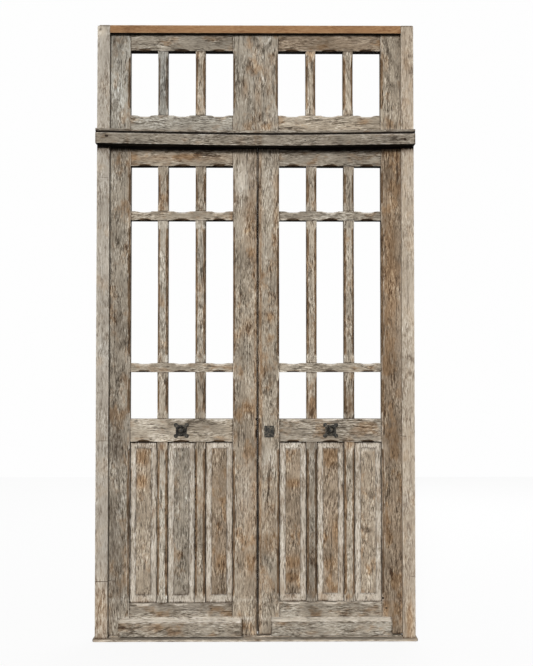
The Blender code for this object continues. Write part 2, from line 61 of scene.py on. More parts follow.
NUMBERS = {name: order for order, name in enumerate(sorted(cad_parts), start=1)}

Span = tuple[float, float]
Point = tuple[float, float, float]
Piece = bpy.types.Object
Material = bpy.types.Material
Socket = bpy.types.NodeSocket
EdgeTest = Callable[[bmesh.types.BMEdge], bool]
Outline = list[tuple[float, float]]

# Joinery sizes, as the solids have them
REVEAL = 0.022
REBATE_COVER = 0.015
EDGE_PLAY = 0.003
UPRIGHT_CHAMFER = 0.011
RAIL_CHAMFER = 0.010
CHAMFER_LAND = 0.024
STOP_LENGTH = 0.021
MEETING_STEP = (0.0047, 0.010)
TRANSOM_RAIL_LIP = 0.018
HINGE_LENGTH = 0.140
HINGE_RADIUS = 0.0075
HINGE_FOOT = 0.0185
HINGE_END = 0.284
JOINT_GAP = 0.0003
JOINT_BITE = 0.0025
JOINT_EASE = 0.0018
RAIL_SCOOP = 0.004

# Mesh spacing along and across the grain
GRAIN_STEP = 0.012
FACE_STEP = 0.0045
SIDE_STEP = 0.008
BACK_STEP = 0.013
END_RINGS = (0.0, 0.0025, 0.0042, 0.0085)
END_EASE = 0.0009
FRONT_CLUSTER = (0.0, 0.0008, 0.002, 0.0035, 0.0055, 0.008, 0.011, 0.0145)
PLAIN_CLUSTER = (0.0, 0.0016)
TINY = 1e-5

# Kinds of socket in the node groups
NUMBER, VECTOR, COLOUR = "NodeSocketFloat", "NodeSocketVector", "NodeSocketColor"


class Grain(Enum):
    """Which way a board's grain runs."""

    UPRIGHT = "z"
    LEVEL = "x"


class Tone(Enum):
    """Lightness, warmth and blueness that one board has weathered to."""

    PALE = (1.10, 0.06, 0.0)
    STRAW = (1.03, 0.08, 0.3)
    HONEY = (1.08, 0.34, 0.0)
    SILVER = (1.02, -0.10, 0.6)
    SLATE = (0.96, -0.40, 1.0)
    MIDDLE = (1.00, 0.10, 0.0)
    DRAB = (0.90, 0.08, 0.2)
    DUSKY = (0.76, 0.06, 0.1)
    UMBER = (0.88, 0.52, 0.0)
    DARK = (0.72, 0.14, 0.2)
    FAWN = (1.06, 0.24, 0.0)
    TAWNY = (0.98, 0.44, 0.0)
    BRIGHT = (1.24, 0.05, 0.0)
    ASH = (1.26, 0.00, 0.30)


class Mark(Enum):
    """How a patch of wood differs from the board around it, as a channel of the marks."""

    BROWN = 1
    # Grime, and also painted shade: undersides, hollows, grooves and the band under the moulding.
    SOIL = 2
    PALE = 3


@dataclass(frozen=True)
class Patch:
    """A soft-edged patch of one mark on the outside face."""

    mark: Mark
    x: float
    z: float
    half_width: float
    half_height: float
    strength: float


@dataclass(frozen=True)
class Run:
    """A stopped chamfer along part of one arris."""

    start: float
    end: float
    width: float


@dataclass(frozen=True)
class Break:
    """A corner knocked off: wood beyond the plane through point, facing normal, is gone."""

    point: Point
    normal: Point
    roughness: float


# Patches that show on the real door, painted shadow and highlight among them: x, z, half width, half
# height and strength of each
PATCH_ROWS = {
    Mark.BROWN: (
        (-0.54, 0.862, 0.034, 0.04, 0.9), (-0.548, 0.745, 0.03, 0.038, 0.9),
        (-0.157, 0.365, 0.026, 0.03, 0.8), (-0.022, 0.36, 0.03, 0.06, 0.9),
        (0.062, 0.455, 0.04, 0.05, 0.8), (0.062, 0.64, 0.042, 0.018, 0.5),
        (0.062, 0.72, 0.042, 0.016, 0.4), (0.176, 0.735, 0.036, 0.02, 0.7),
        (0.172, 0.36, 0.04, 0.028, 0.8), (0.17, 0.29, 0.042, 0.02, 0.9),
        (0.364, 0.885, 0.04, 0.05, 1.0), (0.395, 0.505, 0.03, 0.07, 0.7), (0.36, 0.36, 0.04, 0.03, 0.5),
        (0.449, 0.925, 0.024, 0.026, 1.0), (-0.444, 0.915, 0.024, 0.022, 0.8),
        (0.618, 0.16, 0.018, 0.036, 0.7), (0.27, 1.105, 0.024, 0.05, 1.0),
        (0.449, 1.11, 0.018, 0.05, 0.7), (-0.044, 1.095, 0.036, 0.034, 0.7),
        (-0.034, 1.48, 0.026, 0.04, 0.6), (0.07, 1.53, 0.022, 0.026, 0.9),
        (0.732, 0.095, 0.016, 0.08, 0.9), (-0.733, 0.14, 0.04, 0.14, 0.7),
        (-0.744, 2.906, 0.012, 0.01, 1.0), (0.022, 1.2, 0.008, 1.3, 0.9), (0.001, 1.2, 0.007, 1.3, 0.8),
        (-0.12, 0.52, 0.01, 0.3, 0.9), (-0.118, 2.06, 0.008, 0.16, 0.9),
        (-0.606, 2.1, 0.008, 0.26, 0.9), (-0.036, 0.56, 0.05, 0.34, 0.4),
        (-0.025, 2.05, 0.026, 0.2, 0.6), (-0.35, 2.3, 0.24, 0.018, 0.5), (0.1, 2.03, 0.012, 0.18, 0.6),
        (0.066, 0.56, 0.05, 0.12, 0.35), (0.65, 1.75, 0.03, 0.35, 0.5), (0.045, 2.45, 0.02, 0.016, 1.0),
        (-0.05, 2.64, 0.016, 0.05, 0.5), (0.01, 2.6, 0.014, 0.06, 0.5), (0.06, 2.7, 0.02, 0.08, 0.4),
    ),
    # Soil rows: the wide bands at z 2.354 and 2.341 are the painted shadow under the drip moulding, the
    # band at z 2.423 is painted shade in its quirk, and the tall strips at x 0.004 to 0.013 are painted
    # shade in the meeting groove.
    Mark.SOIL: (
        (0.18, 0.235, 0.036, 0.018, 0.7), (0.064, 0.993, 0.011, 0.016, 1.3),
        (0.272, 1.075, 0.018, 0.022, 0.7), (-0.034, 1.066, 0.017, 0.026, 0.9),
        (-0.03, 1.48, 0.012, 0.018, 0.8), (0.0105, 0.75, 0.0044, 0.8, 1.5),
        (0.0105, 1.95, 0.0044, 0.38, 1.5), (0.013, 0.42, 0.0042, 0.42, 1.4),
        (0.004, 0.42, 0.0035, 0.42, 0.8), (-0.34, 0.088, 0.3, 0.0022, 0.72),
        (0.39, 0.088, 0.3, 0.0022, 0.72), (-0.618, 2.915, 0.02, 0.02, 0.3),
        (-0.706, 2.39, 0.018, 0.012, 0.6), (0.71, 2.376, 0.016, 0.012, 0.6),
        (0.0, 2.354, 4.0, 0.022, 1.5), (0.34, 2.341, 0.3, 0.013, 1.2), (-0.66, 0.43, 0.05, 0.3, 0.55),
        (0.0, 2.423, 4.0, 0.007, 0.42), (0.65, 1.05, 0.04, 0.16, 0.5), (0.655, 1.3, 0.03, 0.12, 0.5),
        (0.64, 2.22, 0.036, 0.06, 0.6), (-0.66, 0.92, 0.04, 0.11, 0.6), (-0.665, 0.3, 0.034, 0.12, 0.8),
        (-0.655, 1.5, 0.034, 0.11, 0.4), (-0.66, 2.29, 0.04, 0.05, 0.5),
        (-0.45, 0.165, 0.04, 0.012, 0.8), (-0.19, 0.16, 0.06, 0.01, 0.8),
        (-0.764, 2.926, 0.008, 0.006, 1.1), (-0.744, 2.916, 0.007, 0.005, 1.1),
        (-0.757, 2.897, 0.008, 0.005, 0.9), (-0.735, 0.45, 0.05, 0.3, 0.16),
        (0.735, 0.42, 0.05, 0.3, 0.16),
    ),
    # Pale rows: the first, along the weatherboard's top at z 0.098, is a painted highlight.
    Mark.PALE: (
        (-0.33, 0.098, 0.28, 0.006, 1.4), (-0.33, 0.1815, 0.26, 0.0055, 1.1),
        (0.39, 0.1815, 0.26, 0.0045, 0.8), (-0.062, 2.2, 0.04, 0.1, 0.7), (0.066, 2.2, 0.03, 0.12, 0.4),
        (0.064, 0.85, 0.034, 0.06, 0.5), (-0.05, 0.7, 0.03, 0.12, 0.4),
        (-0.478, 0.55, 0.006, 0.33, 1.0), (-0.228, 0.55, 0.008, 0.33, 0.8),
        (-0.598, 0.62, 0.006, 0.3, 0.8), (0.484, 0.55, 0.008, 0.33, 0.7),
        (0.598, 0.55, 0.008, 0.33, 1.0), (0.54, 0.91, 0.06, 0.016, 0.8),
        (0.36, 0.918, 0.05, 0.012, 0.7), (0.18, 0.912, 0.05, 0.014, 0.5),
        (-0.54, 0.18, 0.04, 0.012, 1.0), (-0.752, 2.911, 0.026, 0.024, 1.2),
        (0.735, 1.45, 0.05, 0.45, 0.3),
    ),
}
PATCHES = tuple(Patch(mark, *row) for mark, rows in PATCH_ROWS.items() for row in rows)

# Boards whose tone isn't the middle one
TONED_BOARDS = {
    Tone.STRAW: "jamb_left transom_stile_centre right_weatherboard",
    Tone.HONEY: "jamb_right",
    Tone.DUSKY: "transom_moulding",
    Tone.DRAB: "transom_rail transom_top_rail_left left_hinge_stile left_weatherboard left_panel_2  "
               "right_upper_glazing_bar right_top_rail right_lock_rail right_bottom_rail",
    Tone.SILVER: "transom_stile_left transom_bottom_rail_left",
    Tone.UMBER: "transom_top_rail_right left_panel_3 right_hinge_stile",
    Tone.PALE: "transom_bottom_rail_right transom_mullion_2 left_lock_rail right_mullion_middle_2  "
               "left_upper_glazing_bar right_lower_glazing_bar right_muntin_2",
    Tone.SLATE: "transom_mullion_1",
    Tone.BRIGHT: "transom_mullion_3 transom_mullion_4 right_mullion_middle_1",
    Tone.DARK: "left_bottom_rail right_muntin_1",
    Tone.FAWN: "left_panel_1 right_panel_3",
    Tone.TAWNY: "right_panel_1 right_panel_2",
    Tone.ASH: "left_muntin_1 left_mullion_middle_1 left_mullion_middle_2",
}
TONES = {board: tone for tone, boards in TONED_BOARDS.items() for board in boards.split()}


def paint(red: int, green: int, blue: int) -> tuple[float, float, float, float]:
    """Scene colour of a screen colour with channels from 0 to 255."""
    shares = [channel / 255 for channel in (red, green, blue)]
    linear = [c / 12.92 if c <= 0.04045 else ((c + 0.055) / 1.055) ** 2.4 for c in shares]
    return (linear[0], linear[1], linear[2], 1.0)


def stops(places: tuple[float, ...], *colours: tuple[int, int, int]) -> tuple:
    """Stops of a colour ramp, each a place and the scene colour there."""
    return tuple((place, paint(*colour)) for place, colour in zip(places, colours))


def stacked(*values: np.ndarray | float) -> np.ndarray:
    """A row for each vertex, from values that differ and values that are the same for all."""
    return np.stack(np.broadcast_arrays(*values), axis=1)


def deselect_all() -> None:
    """Leave nothing selected, in object mode."""
    if bpy.context.object is not None and bpy.context.object.mode != "OBJECT":
        bpy.ops.object.mode_set(mode="OBJECT")
    bpy.ops.object.select_all(action="DESELECT")


def coordinates(piece: Piece) -> np.ndarray:
    """All vertex places of a mesh, one row each."""
    places = np.empty(len(piece.data.vertices) * 3)
    piece.data.vertices.foreach_get("co", places)
    return places.reshape(-1, 3)


def set_coordinates(piece: Piece, places: np.ndarray) -> None:
    """Move every vertex of a mesh."""
    piece.data.vertices.foreach_set("co", places.ravel())
    piece.data.update()


def normals(piece: Piece) -> np.ndarray:
    """Vertex normals of a mesh, one row each."""
    directions = np.empty(len(piece.data.vertices) * 3, dtype=np.float32)
    piece.data.vertex_normals.foreach_get("vector", directions)
    return directions.reshape(-1, 3).astype(float)


def smoothstep(share: np.ndarray) -> np.ndarray:
    """Ogee from 0 to 1."""
    share = np.clip(share, 0.0, 1.0)
    return share * share * (3 - 2 * share)


def noise_at(places: np.ndarray) -> np.ndarray:
    """Smooth noise from -1 to 1 at each row of places."""
    return np.array([noise.noise(Vector(place)) for place in places.tolist()])


def activate(piece: Piece) -> None:
    """Select a piece alone and make it the active one."""
    deselect_all()
    piece.select_set(True)
    bpy.context.view_layer.objects.active = piece


def rename(piece: Piece, name: str) -> None:
    """Give a piece and its mesh one name."""
    piece.name = name
    piece.data.name = name


def select_edges(piece: Piece, wanted: EdgeTest) -> None:
    """Select, in edit mode, only the edges that a test picks out."""
    mesh = bmesh.from_edit_mesh(piece.data)
    for element in (*mesh.faces, *mesh.edges, *mesh.verts):
        element.select = False
    for edge in mesh.edges:
        edge.select = wanted(edge)
    mesh.select_flush_mode()
    bmesh.update_edit_mesh(piece.data)


def spaced(length: float, near: tuple[float, ...], far: tuple[float, ...], step: float) -> list[float]:
    """Distances along a line: close together at either end, evenly spaced between.

    Args:
        length: The line's length.
        near: Distances wanted from the line's start.
        far: Distances wanted from the line's end.
        step: The widest spacing between the two clusters.

    Returns:
        Rising distances from 0, without the line's own end.
    """
    near_kept = [d for d in near if d < 0.55 * length]
    far_kept = sorted((length - d for d in far if 0 < d < 0.40 * length))
    low = near_kept[-1]
    high = far_kept[0] if far_kept else length
    cuts = max(1, math.ceil((high - low) / step))
    middle = [low + (high - low) * i / cuts for i in range(1, cuts)]
    return [*near_kept, *middle, *far_kept]


class OakFigure:
    """Builds the shader node groups that every oak finish shares."""

    def __init__(self) -> None:
        """Build both groups once."""
        self.grain = self.build_grain()
        self.weather = self.build_weather()

    @staticmethod
    def open_group(name: str, inputs: dict[str, str], outputs: str) -> "Graph":
        """Start a node group with named sockets.

        Args:
            name: The group's name.
            inputs: Name of each input and its kind.
            outputs: Names of the outputs, which are all numbers.

        Returns:
            The graph, with its group input and output nodes in place.
        """
        tree = bpy.data.node_groups.new(name, "ShaderNodeTree")
        for socket, kind in inputs.items():
            tree.interface.new_socket(name=socket, in_out="INPUT", socket_type=kind)
        for socket in outputs.split():
            tree.interface.new_socket(name=socket, in_out="OUTPUT", socket_type=NUMBER)
        graph = Graph(tree)
        graph.source = tree.nodes.new("NodeGroupInput")
        graph.target = tree.nodes.new("NodeGroupOutput")
        return graph

    def build_grain(self) -> bpy.types.NodeTree:
        """Streaks, fibres, growth figure and fissures of oak, drawn out along the grain."""
        inputs = {"Timber": VECTOR, "Coarseness": NUMBER, "Fissures": NUMBER}
        graph = self.open_group("oak grain", inputs, "Streak Fibre Figure Fissure Height")
        timber = graph.source.outputs["Timber"]
        coarse = graph.scaled(timber, graph.source.outputs["Coarseness"])
        bend = graph.drawn_noise(coarse, 7.0, 3.0, 2.0, 0.5)
        swayed = graph.swayed(coarse, bend, 0.012)
        broad = graph.drawn_noise(swayed, 30.0, 6.0, 2.0, 0.5)
        streak = graph.drawn_noise(swayed, 262.0, 34.0, 2.0, 0.5)
        streak = graph.math("MULTIPLY_ADD", broad, 0.18, graph.math("MULTIPLY", streak, 0.82))
        fibre = graph.drawn_noise(swayed, 420.0, 75.0, 3.0, 0.62)
        field_value = graph.drawn_noise(swayed, 7.0, 1.5, 1.0, 0.4)
        rings = graph.math("SINE", graph.math("MULTIPLY", field_value, 95.0))
        zone = graph.drawn_noise(coarse, 4.0, 2.6, 1.0, 0.5)
        figure = graph.math("MULTIPLY", graph.span(rings, 0.2, 1.0, 0.0, 1.0),
                            graph.span(zone, 0.44, 0.60, 0.1, 1.0))
        tick = graph.drawn_noise(swayed, 280.0, 20.0, 2.0, 0.5)
        crowd = graph.drawn_noise(coarse, 24.0, 8.0, 2.0, 0.5)
        tick = graph.math("ADD", tick, graph.math("MULTIPLY_ADD", crowd, 0.30, -0.15))
        ticks = graph.span(tick, 0.60, 0.69, 0.0, 0.95)
        split = graph.drawn_noise(swayed, 46.0, 2.6, 2.0, 0.55)
        offset = graph.math("ABSOLUTE", graph.math("SUBTRACT", split, 0.5))
        line = graph.span(offset, 0.0, 0.014, 1.0, 0.0)
        gate = graph.drawn_noise(coarse, 21.0, 3.1, 1.0, 0.5)
        line = graph.math("MULTIPLY", line, graph.span(gate, 0.50, 0.62, 0.0, 1.0))
        fissure = graph.math("MAXIMUM", line, ticks)
        fissure = graph.math("MULTIPLY", fissure, graph.source.outputs["Fissures"])
        height = graph.math("MULTIPLY_ADD", streak, 0.55, graph.math("MULTIPLY", fibre, 0.45))
        height = graph.math("MULTIPLY_ADD", figure, -0.10, height)
        height = graph.math("SUBTRACT", height, graph.math("MULTIPLY", fissure, 0.8))
        return graph.put_out(Streak=streak, Fibre=fibre, Figure=figure, Fissure=fissure,
                             Height=height)

    def build_weather(self) -> bpy.types.NodeTree:
        """Broken-up patches of brown, grimy and weather-whitened wood, with painted shade and painted
        highlight among them, from the marks on a board.
        """
        inputs = {"Timber": VECTOR, "Marks": COLOUR, "BleachAndHighlight": NUMBER, "Streak": NUMBER,
                  "Patchiness": NUMBER, "Warmth": NUMBER}
        graph = self.open_group("weathering", inputs, "Brown Soil Pale Cloud Deep Calm")
        timber = graph.source.outputs["Timber"]
        marks = graph.add("ShaderNodeSeparateColor", {0: graph.source.outputs["Marks"]})
        patches = graph.drawn_noise(timber, 17.0, 10.0, 4.0, 0.62)
        cloud = graph.drawn_noise(timber, 9.0, 4.5, 4.0, 0.6)
        calm = graph.drawn_noise(timber, 21.0, 8.0, 2.0, 0.5)
        ragged = graph.math("MULTIPLY_ADD", graph.source.outputs["Streak"], 0.6,
                            graph.math("MULTIPLY", patches, 0.7))
        loose = graph.span(patches, 0.50, 0.68, 0.0, 1.0)
        brown = graph.math("MULTIPLY", loose, graph.source.outputs["Patchiness"])
        brown = graph.math("ADD", brown, graph.source.outputs["Warmth"])
        marked = graph.math("MULTIPLY", marks.outputs[1], graph.span(ragged, 0.50, 0.82, 1.45, 0.55))
        brown = graph.math("ADD", brown, marked, clamp=True)
        soil_and_shade = graph.math("MULTIPLY", marks.outputs[2], graph.span(ragged, 0.50, 0.80, 1.2, 0.30),
                          clamp=True)
        # Near black where this channel runs high: deep grime, and the painted shade of undersides,
        # hollows, grooves and the band under the moulding.
        deep = graph.span(marks.outputs[2], 0.82, 1.0, 0.0, 0.93)
        worn = graph.math("MULTIPLY", marks.outputs[0], graph.span(ragged, 0.50, 0.80, 0.0, 0.7))
        # Weather-whitened wood, and the painted highlight on upward faces.
        bleached_and_lit = graph.math("MULTIPLY", graph.source.outputs["BleachAndHighlight"],
                              graph.span(ragged, 0.40, 0.70, 0.45, 1.15))
        pale = graph.math("ADD", worn, bleached_and_lit, clamp=True)
        return graph.put_out(Brown=brown, Soil=soil_and_shade, Pale=pale, Cloud=cloud, Deep=deep, Calm=calm)


class Graph:
    """A node tree written one node at a time."""

    def __init__(self, tree: bpy.types.NodeTree) -> None:
        """Keep the tree to write into."""
        self.tree = tree
        self.source: bpy.types.Node | None = None
        self.target: bpy.types.Node | None = None

    def link(self, value: object, socket: Socket) -> None:
        """Feed a socket from another socket, or set its plain value."""
        if isinstance(value, Socket):
            self.tree.links.new(value, socket)
        elif value is not None:
            socket.default_value = value

    def add(self, kind: str, inputs: dict, **settings: object) -> bpy.types.Node:
        """Add a node.

        Args:
            kind: The node's type.
            inputs: Input name or number to a value or another node's socket.
            **settings: Properties of the node.

        Returns:
            The new node.
        """
        node = self.tree.nodes.new(kind)
        for name, value in settings.items():
            setattr(node, name, value)
        for name, value in inputs.items():
            self.link(value, node.inputs[name])
        return node

    def math(self, operation: str, first: object, second: object = None, third: object = None,
             clamp: bool = False) -> Socket:
        """Arithmetic on up to three values."""
        inputs = {0: first, 1: second, 2: third}
        return self.add("ShaderNodeMath", inputs, operation=operation, use_clamp=clamp).outputs[0]

    def stretched(self, vector: object, factors: Point) -> Socket:
        """A vector multiplied part by part."""
        node = self.add("ShaderNodeVectorMath", {0: vector, 1: factors}, operation="MULTIPLY")
        return node.outputs[0]

    def scaled(self, vector: object, factor: object) -> Socket:
        """A vector times one number."""
        node = self.add("ShaderNodeVectorMath", {0: vector, "Scale": factor}, operation="SCALE")
        return node.outputs[0]

    def swayed(self, vector: object, bend: object, reach: float) -> Socket:
        """A vector pushed across the grain by a value from 0 to 1."""
        centred = self.math("SUBTRACT", bend, 0.5)
        push = self.math("MULTIPLY", centred, reach)
        sideways = self.add("ShaderNodeCombineXYZ", {0: push, 1: push}).outputs[0]
        return self.add("ShaderNodeVectorMath", {0: vector, 1: sideways}, operation="ADD").outputs[0]

    def noise(self, vector: object, detail: float, roughness: float) -> Socket:
        """Fractal noise from 0 to 1 at a vector."""
        inputs = {"Vector": vector, "Scale": 1.0, "Detail": detail, "Roughness": roughness}
        return self.add("ShaderNodeTexNoise", inputs).outputs["Fac"]

    def drawn_noise(self, vector: object, across: float, along: float, detail: float,
                    roughness: float) -> Socket:
        """Fractal noise drawn out along the grain, so many waves a metre each way."""
        return self.noise(self.stretched(vector, (across, across, along)), detail, roughness)

    def attribute(self, name: str) -> Socket:
        """The vector that a board carries under a name."""
        return self.add("ShaderNodeAttribute", {}, attribute_name=name).outputs["Vector"]

    def put_out(self, **values: Socket) -> bpy.types.NodeTree:
        """Feed the group's outputs by name and give back the finished group."""
        for name, value in values.items():
            self.link(value, self.target.inputs[name])
        return self.tree

    def span(self, value: object, low: float, high: float, to_low: float,
             to_high: float) -> Socket:
        """A value moved smoothly from one range to another."""
        inputs = {"Value": value, "From Min": low, "From Max": high, "To Min": to_low,
                  "To Max": to_high}
        return self.add("ShaderNodeMapRange", inputs, interpolation_type="SMOOTHSTEP").outputs[0]

    def mix(self, share: object, first: object, second: object,
            blend: str = "MIX") -> Socket:
        """One colour laid over another."""
        inputs = {0: share, 6: first, 7: second}
        node = self.add("ShaderNodeMix", inputs, data_type="RGBA", blend_type=blend)
        return node.outputs[2]

    def ramp(self, value: object, stops: tuple) -> Socket:
        """A colour read from a row of (place, colour) stops."""
        node = self.add("ShaderNodeValToRGB", {0: value})
        elements = node.color_ramp.elements
        while len(elements) < len(stops):
            elements.new(1.0)
        for element, (place, colour) in zip(elements, stops):
            element.position = place
            element.color = colour
        return node.outputs[0]


@dataclass(frozen=True)
class OakFinish:
    """Bare oak as it has aged: its colours, how patchy and how open its grain is."""

    name: str
    grey: tuple
    brown: tuple
    pale: tuple
    fissure_colour: tuple
    soil_and_shade_colour: tuple
    coarseness: float = 1.0
    fissures: float = 0.8
    patchiness: float = 0.75
    cloudiness: float = 0.24
    figure: float = -0.07
    relief: float = 0.0013
    roughness: float = 0.86

    def material(self, figure: OakFigure) -> Material:
        """Build the material.

        Args:
            figure: The shared node groups.

        Returns:
            A Principled material that reads the attributes timber, marks and board.
        """
        made = bpy.data.materials.new(self.name)
        made.use_nodes = True
        graph = Graph(made.node_tree)
        shader = made.node_tree.nodes["Principled BSDF"]
        timber = graph.attribute("timber")
        marks = graph.add("ShaderNodeAttribute", {}, attribute_name="marks")
        tone = graph.add("ShaderNodeSeparateXYZ", {0: graph.attribute("board")})
        crack = graph.add("ShaderNodeSeparateXYZ", {0: graph.attribute("cracks")})
        grain = graph.add("ShaderNodeGroup", {}, node_tree=figure.grain)
        graph.link(timber, grain.inputs["Timber"])
        graph.link(self.coarseness, grain.inputs["Coarseness"])
        graph.link(self.fissures, grain.inputs["Fissures"])
        streak = grain.outputs["Streak"]
        weather = graph.add("ShaderNodeGroup", {}, node_tree=figure.weather)
        for name, value in (("Timber", timber), ("Marks", marks.outputs["Color"]),
                            ("BleachAndHighlight", marks.outputs["Alpha"]), ("Streak", streak),
                            ("Patchiness", self.patchiness), ("Warmth", tone.outputs[1])):
            graph.link(value, weather.inputs[name])

        value = graph.math("MULTIPLY_ADD", grain.outputs["Fibre"], 0.46,
                           graph.math("MULTIPLY", streak, 0.54))
        value = graph.math("MULTIPLY_ADD", grain.outputs["Figure"], self.figure, value)
        calm = graph.span(weather.outputs["Calm"], 0.38, 0.62, 1.24, 0.40)
        value = graph.math("MULTIPLY_ADD", graph.math("SUBTRACT", value, 0.5), calm, 0.5)
        colour = graph.mix(weather.outputs["Brown"], graph.ramp(value, self.grey),
                           graph.ramp(value, self.brown))
        cloud = graph.span(weather.outputs["Cloud"], 0.3, 0.7, 1.0 - self.cloudiness,
                           1.0 + self.cloudiness)
        shade = graph.math("MULTIPLY", cloud, tone.outputs[0])
        colour = graph.add("ShaderNodeVectorMath", {0: colour, "Scale": shade},
                           operation="SCALE").outputs[0]
        blued = graph.stretched(colour, (0.90, 1.0, 1.13))
        cool = graph.span(weather.outputs["Cloud"], 0.50, 0.66, 0.0, 0.30)
        cool = graph.math("ADD", cool, tone.outputs[2], clamp=True)
        colour = graph.mix(cool, colour, blued)
        colour = graph.mix(weather.outputs["Pale"], colour, graph.ramp(value, self.pale))
        # Grime and painted shade, the deepest of both near black.
        colour = graph.mix(weather.outputs["Soil"], colour, self.soil_and_shade_colour)
        colour = graph.mix(weather.outputs["Deep"], colour, DEEP_DIRT_AND_SHADE)
        share = crack.outputs[1]
        taper = graph.math("MINIMUM", share, graph.math("SUBTRACT", 1.0, share))
        taper = graph.math("MULTIPLY", taper, 4.0, clamp=True)
        inside = graph.math("MULTIPLY", crack.outputs[2], taper)
        inside = graph.math("SUBTRACT", inside, graph.math("ABSOLUTE", crack.outputs[0]))
        crack_mask = graph.span(inside, -0.0003, 0.0002, 0.0, 1.0)
        fissure = graph.math("MAXIMUM", grain.outputs["Fissure"], crack_mask)
        colour = graph.mix(fissure, colour, self.fissure_colour)
        graph.link(colour, shader.inputs["Base Color"])
        rough = graph.span(streak, 0.3, 0.7, self.roughness + 0.06, self.roughness - 0.06)
        graph.link(rough, shader.inputs["Roughness"])
        shader.inputs["Specular IOR Level"].default_value = 0.25
        height = graph.math("SUBTRACT", grain.outputs["Height"], crack_mask)
        bump = graph.add("ShaderNodeBump", {"Height": height, "Strength": 0.85,
                                            "Distance": self.relief})
        graph.link(bump.outputs[0], shader.inputs["Normal"])
        return made


@dataclass(frozen=True)
class IronFinish:
    """Black iron, pitted and dusty."""

    name: str
    dark: tuple
    dust: tuple
    rust: tuple
    roughness: float = 0.62

    def material(self) -> Material:
        """Build the material on Object coordinates."""
        made = bpy.data.materials.new(self.name)
        made.use_nodes = True
        graph = Graph(made.node_tree)
        shader = made.node_tree.nodes["Principled BSDF"]
        place = graph.add("ShaderNodeTexCoord", {}).outputs["Object"]
        pits = graph.drawn_noise(place, 420.0, 420.0, 4.0, 0.65)
        blotch = graph.drawn_noise(place, 90.0, 90.0, 3.0, 0.6)
        dusty = graph.math("MULTIPLY_ADD", pits, 0.5, graph.math("MULTIPLY", blotch, 0.5))
        colour = graph.mix(graph.span(dusty, 0.47, 0.66, 0.0, 0.75), self.dark, self.dust)
        colour = graph.mix(graph.span(blotch, 0.56, 0.72, 0.0, 0.5), colour, self.rust)
        graph.link(colour, shader.inputs["Base Color"])
        graph.link(graph.span(pits, 0.3, 0.7, self.roughness - 0.12, self.roughness + 0.18),
                   shader.inputs["Roughness"])
        shader.inputs["Metallic"].default_value = 0.35
        bump = graph.add("ShaderNodeBump", {"Height": pits, "Strength": 0.6, "Distance": 0.0006})
        graph.link(bump.outputs[0], shader.inputs["Normal"])
        return made


# Near-black colour of deep grime and of painted shade.
DEEP_DIRT_AND_SHADE = paint(17, 12, 8)
OLD_PLACES = (0.37, 0.46, 0.54, 0.64)
NEW_PLACES = (0.34, 0.46, 0.56, 0.70)
OLD_OAK = OakFinish(
    name="weathered_oak",
    grey=stops(OLD_PLACES, (80, 71, 59), (139, 128, 112), (174, 163, 146), (212, 203, 187)),
    brown=stops(OLD_PLACES, (70, 48, 31), (122, 96, 70), (158, 131, 101), (196, 172, 140)),
    pale=stops(OLD_PLACES, (146, 134, 117), (190, 179, 163), (213, 204, 190), (232, 227, 218)),
    fissure_colour=paint(50, 38, 28),
    soil_and_shade_colour=paint(66, 50, 35),
)
JAMB_OAK = OakFinish(
    name="pale_jamb_oak",
    grey=stops(OLD_PLACES, (120, 109, 95), (161, 150, 135), (182, 172, 157), (206, 198, 183)),
    brown=stops(OLD_PLACES, (100, 74, 52), (152, 126, 98), (178, 154, 125), (202, 180, 151)),
    pale=stops(OLD_PLACES, (160, 147, 128), (196, 184, 166), (214, 205, 190), (232, 226, 214)),
    fissure_colour=paint(80, 64, 50),
    soil_and_shade_colour=paint(84, 66, 50),
    fissures=0.6,
    patchiness=0.35,
    cloudiness=0.14,
    relief=0.0011,
)
NEW_OAK = OakFinish(
    name="new_oak",
    grey=stops(NEW_PLACES, (114, 77, 46), (141, 104, 68), (157, 120, 82), (176, 141, 104)),
    brown=stops(NEW_PLACES, (106, 68, 38), (135, 94, 58), (149, 108, 70), (168, 128, 88)),
    pale=stops(NEW_PLACES, (150, 116, 80), (172, 138, 100), (184, 150, 112), (196, 164, 126)),
    fissure_colour=paint(104, 70, 44),
    soil_and_shade_colour=paint(96, 66, 42),
    fissures=0.15,
    patchiness=0.4,
    cloudiness=0.10,
    relief=0.0005,
    roughness=0.72,
)
BLACK_IRON = IronFinish(
    name="black_iron",
    dark=paint(28, 26, 23),
    dust=paint(142, 134, 118),
    rust=paint(82, 64, 47),
)


@dataclass(frozen=True)
class Crack:
    """A crack or hole on the outside face: both ends, widest width and how far it sways."""

    x: float
    z: float
    end_x: float
    end_z: float
    width: float
    sway: float = 0.0030


@dataclass(frozen=True)
class Knot:
    """A knot that the grain flows round."""

    x: float
    z: float
    radius: float


# Knots that show on the real door
KNOTS = (
    Knot(-0.032, 1.073, 0.026),
    Knot(-0.034, 1.480, 0.020),
    Knot(0.050, 1.560, 0.018),
    Knot(-0.660, 1.900, 0.022),
    Knot(0.655, 0.880, 0.020),
    Knot(0.030, 2.640, 0.026),
    Knot(-0.230, 0.985, 0.020),
    Knot(0.470, 1.000, 0.018),
    Knot(-0.735, 0.330, 0.030),
)

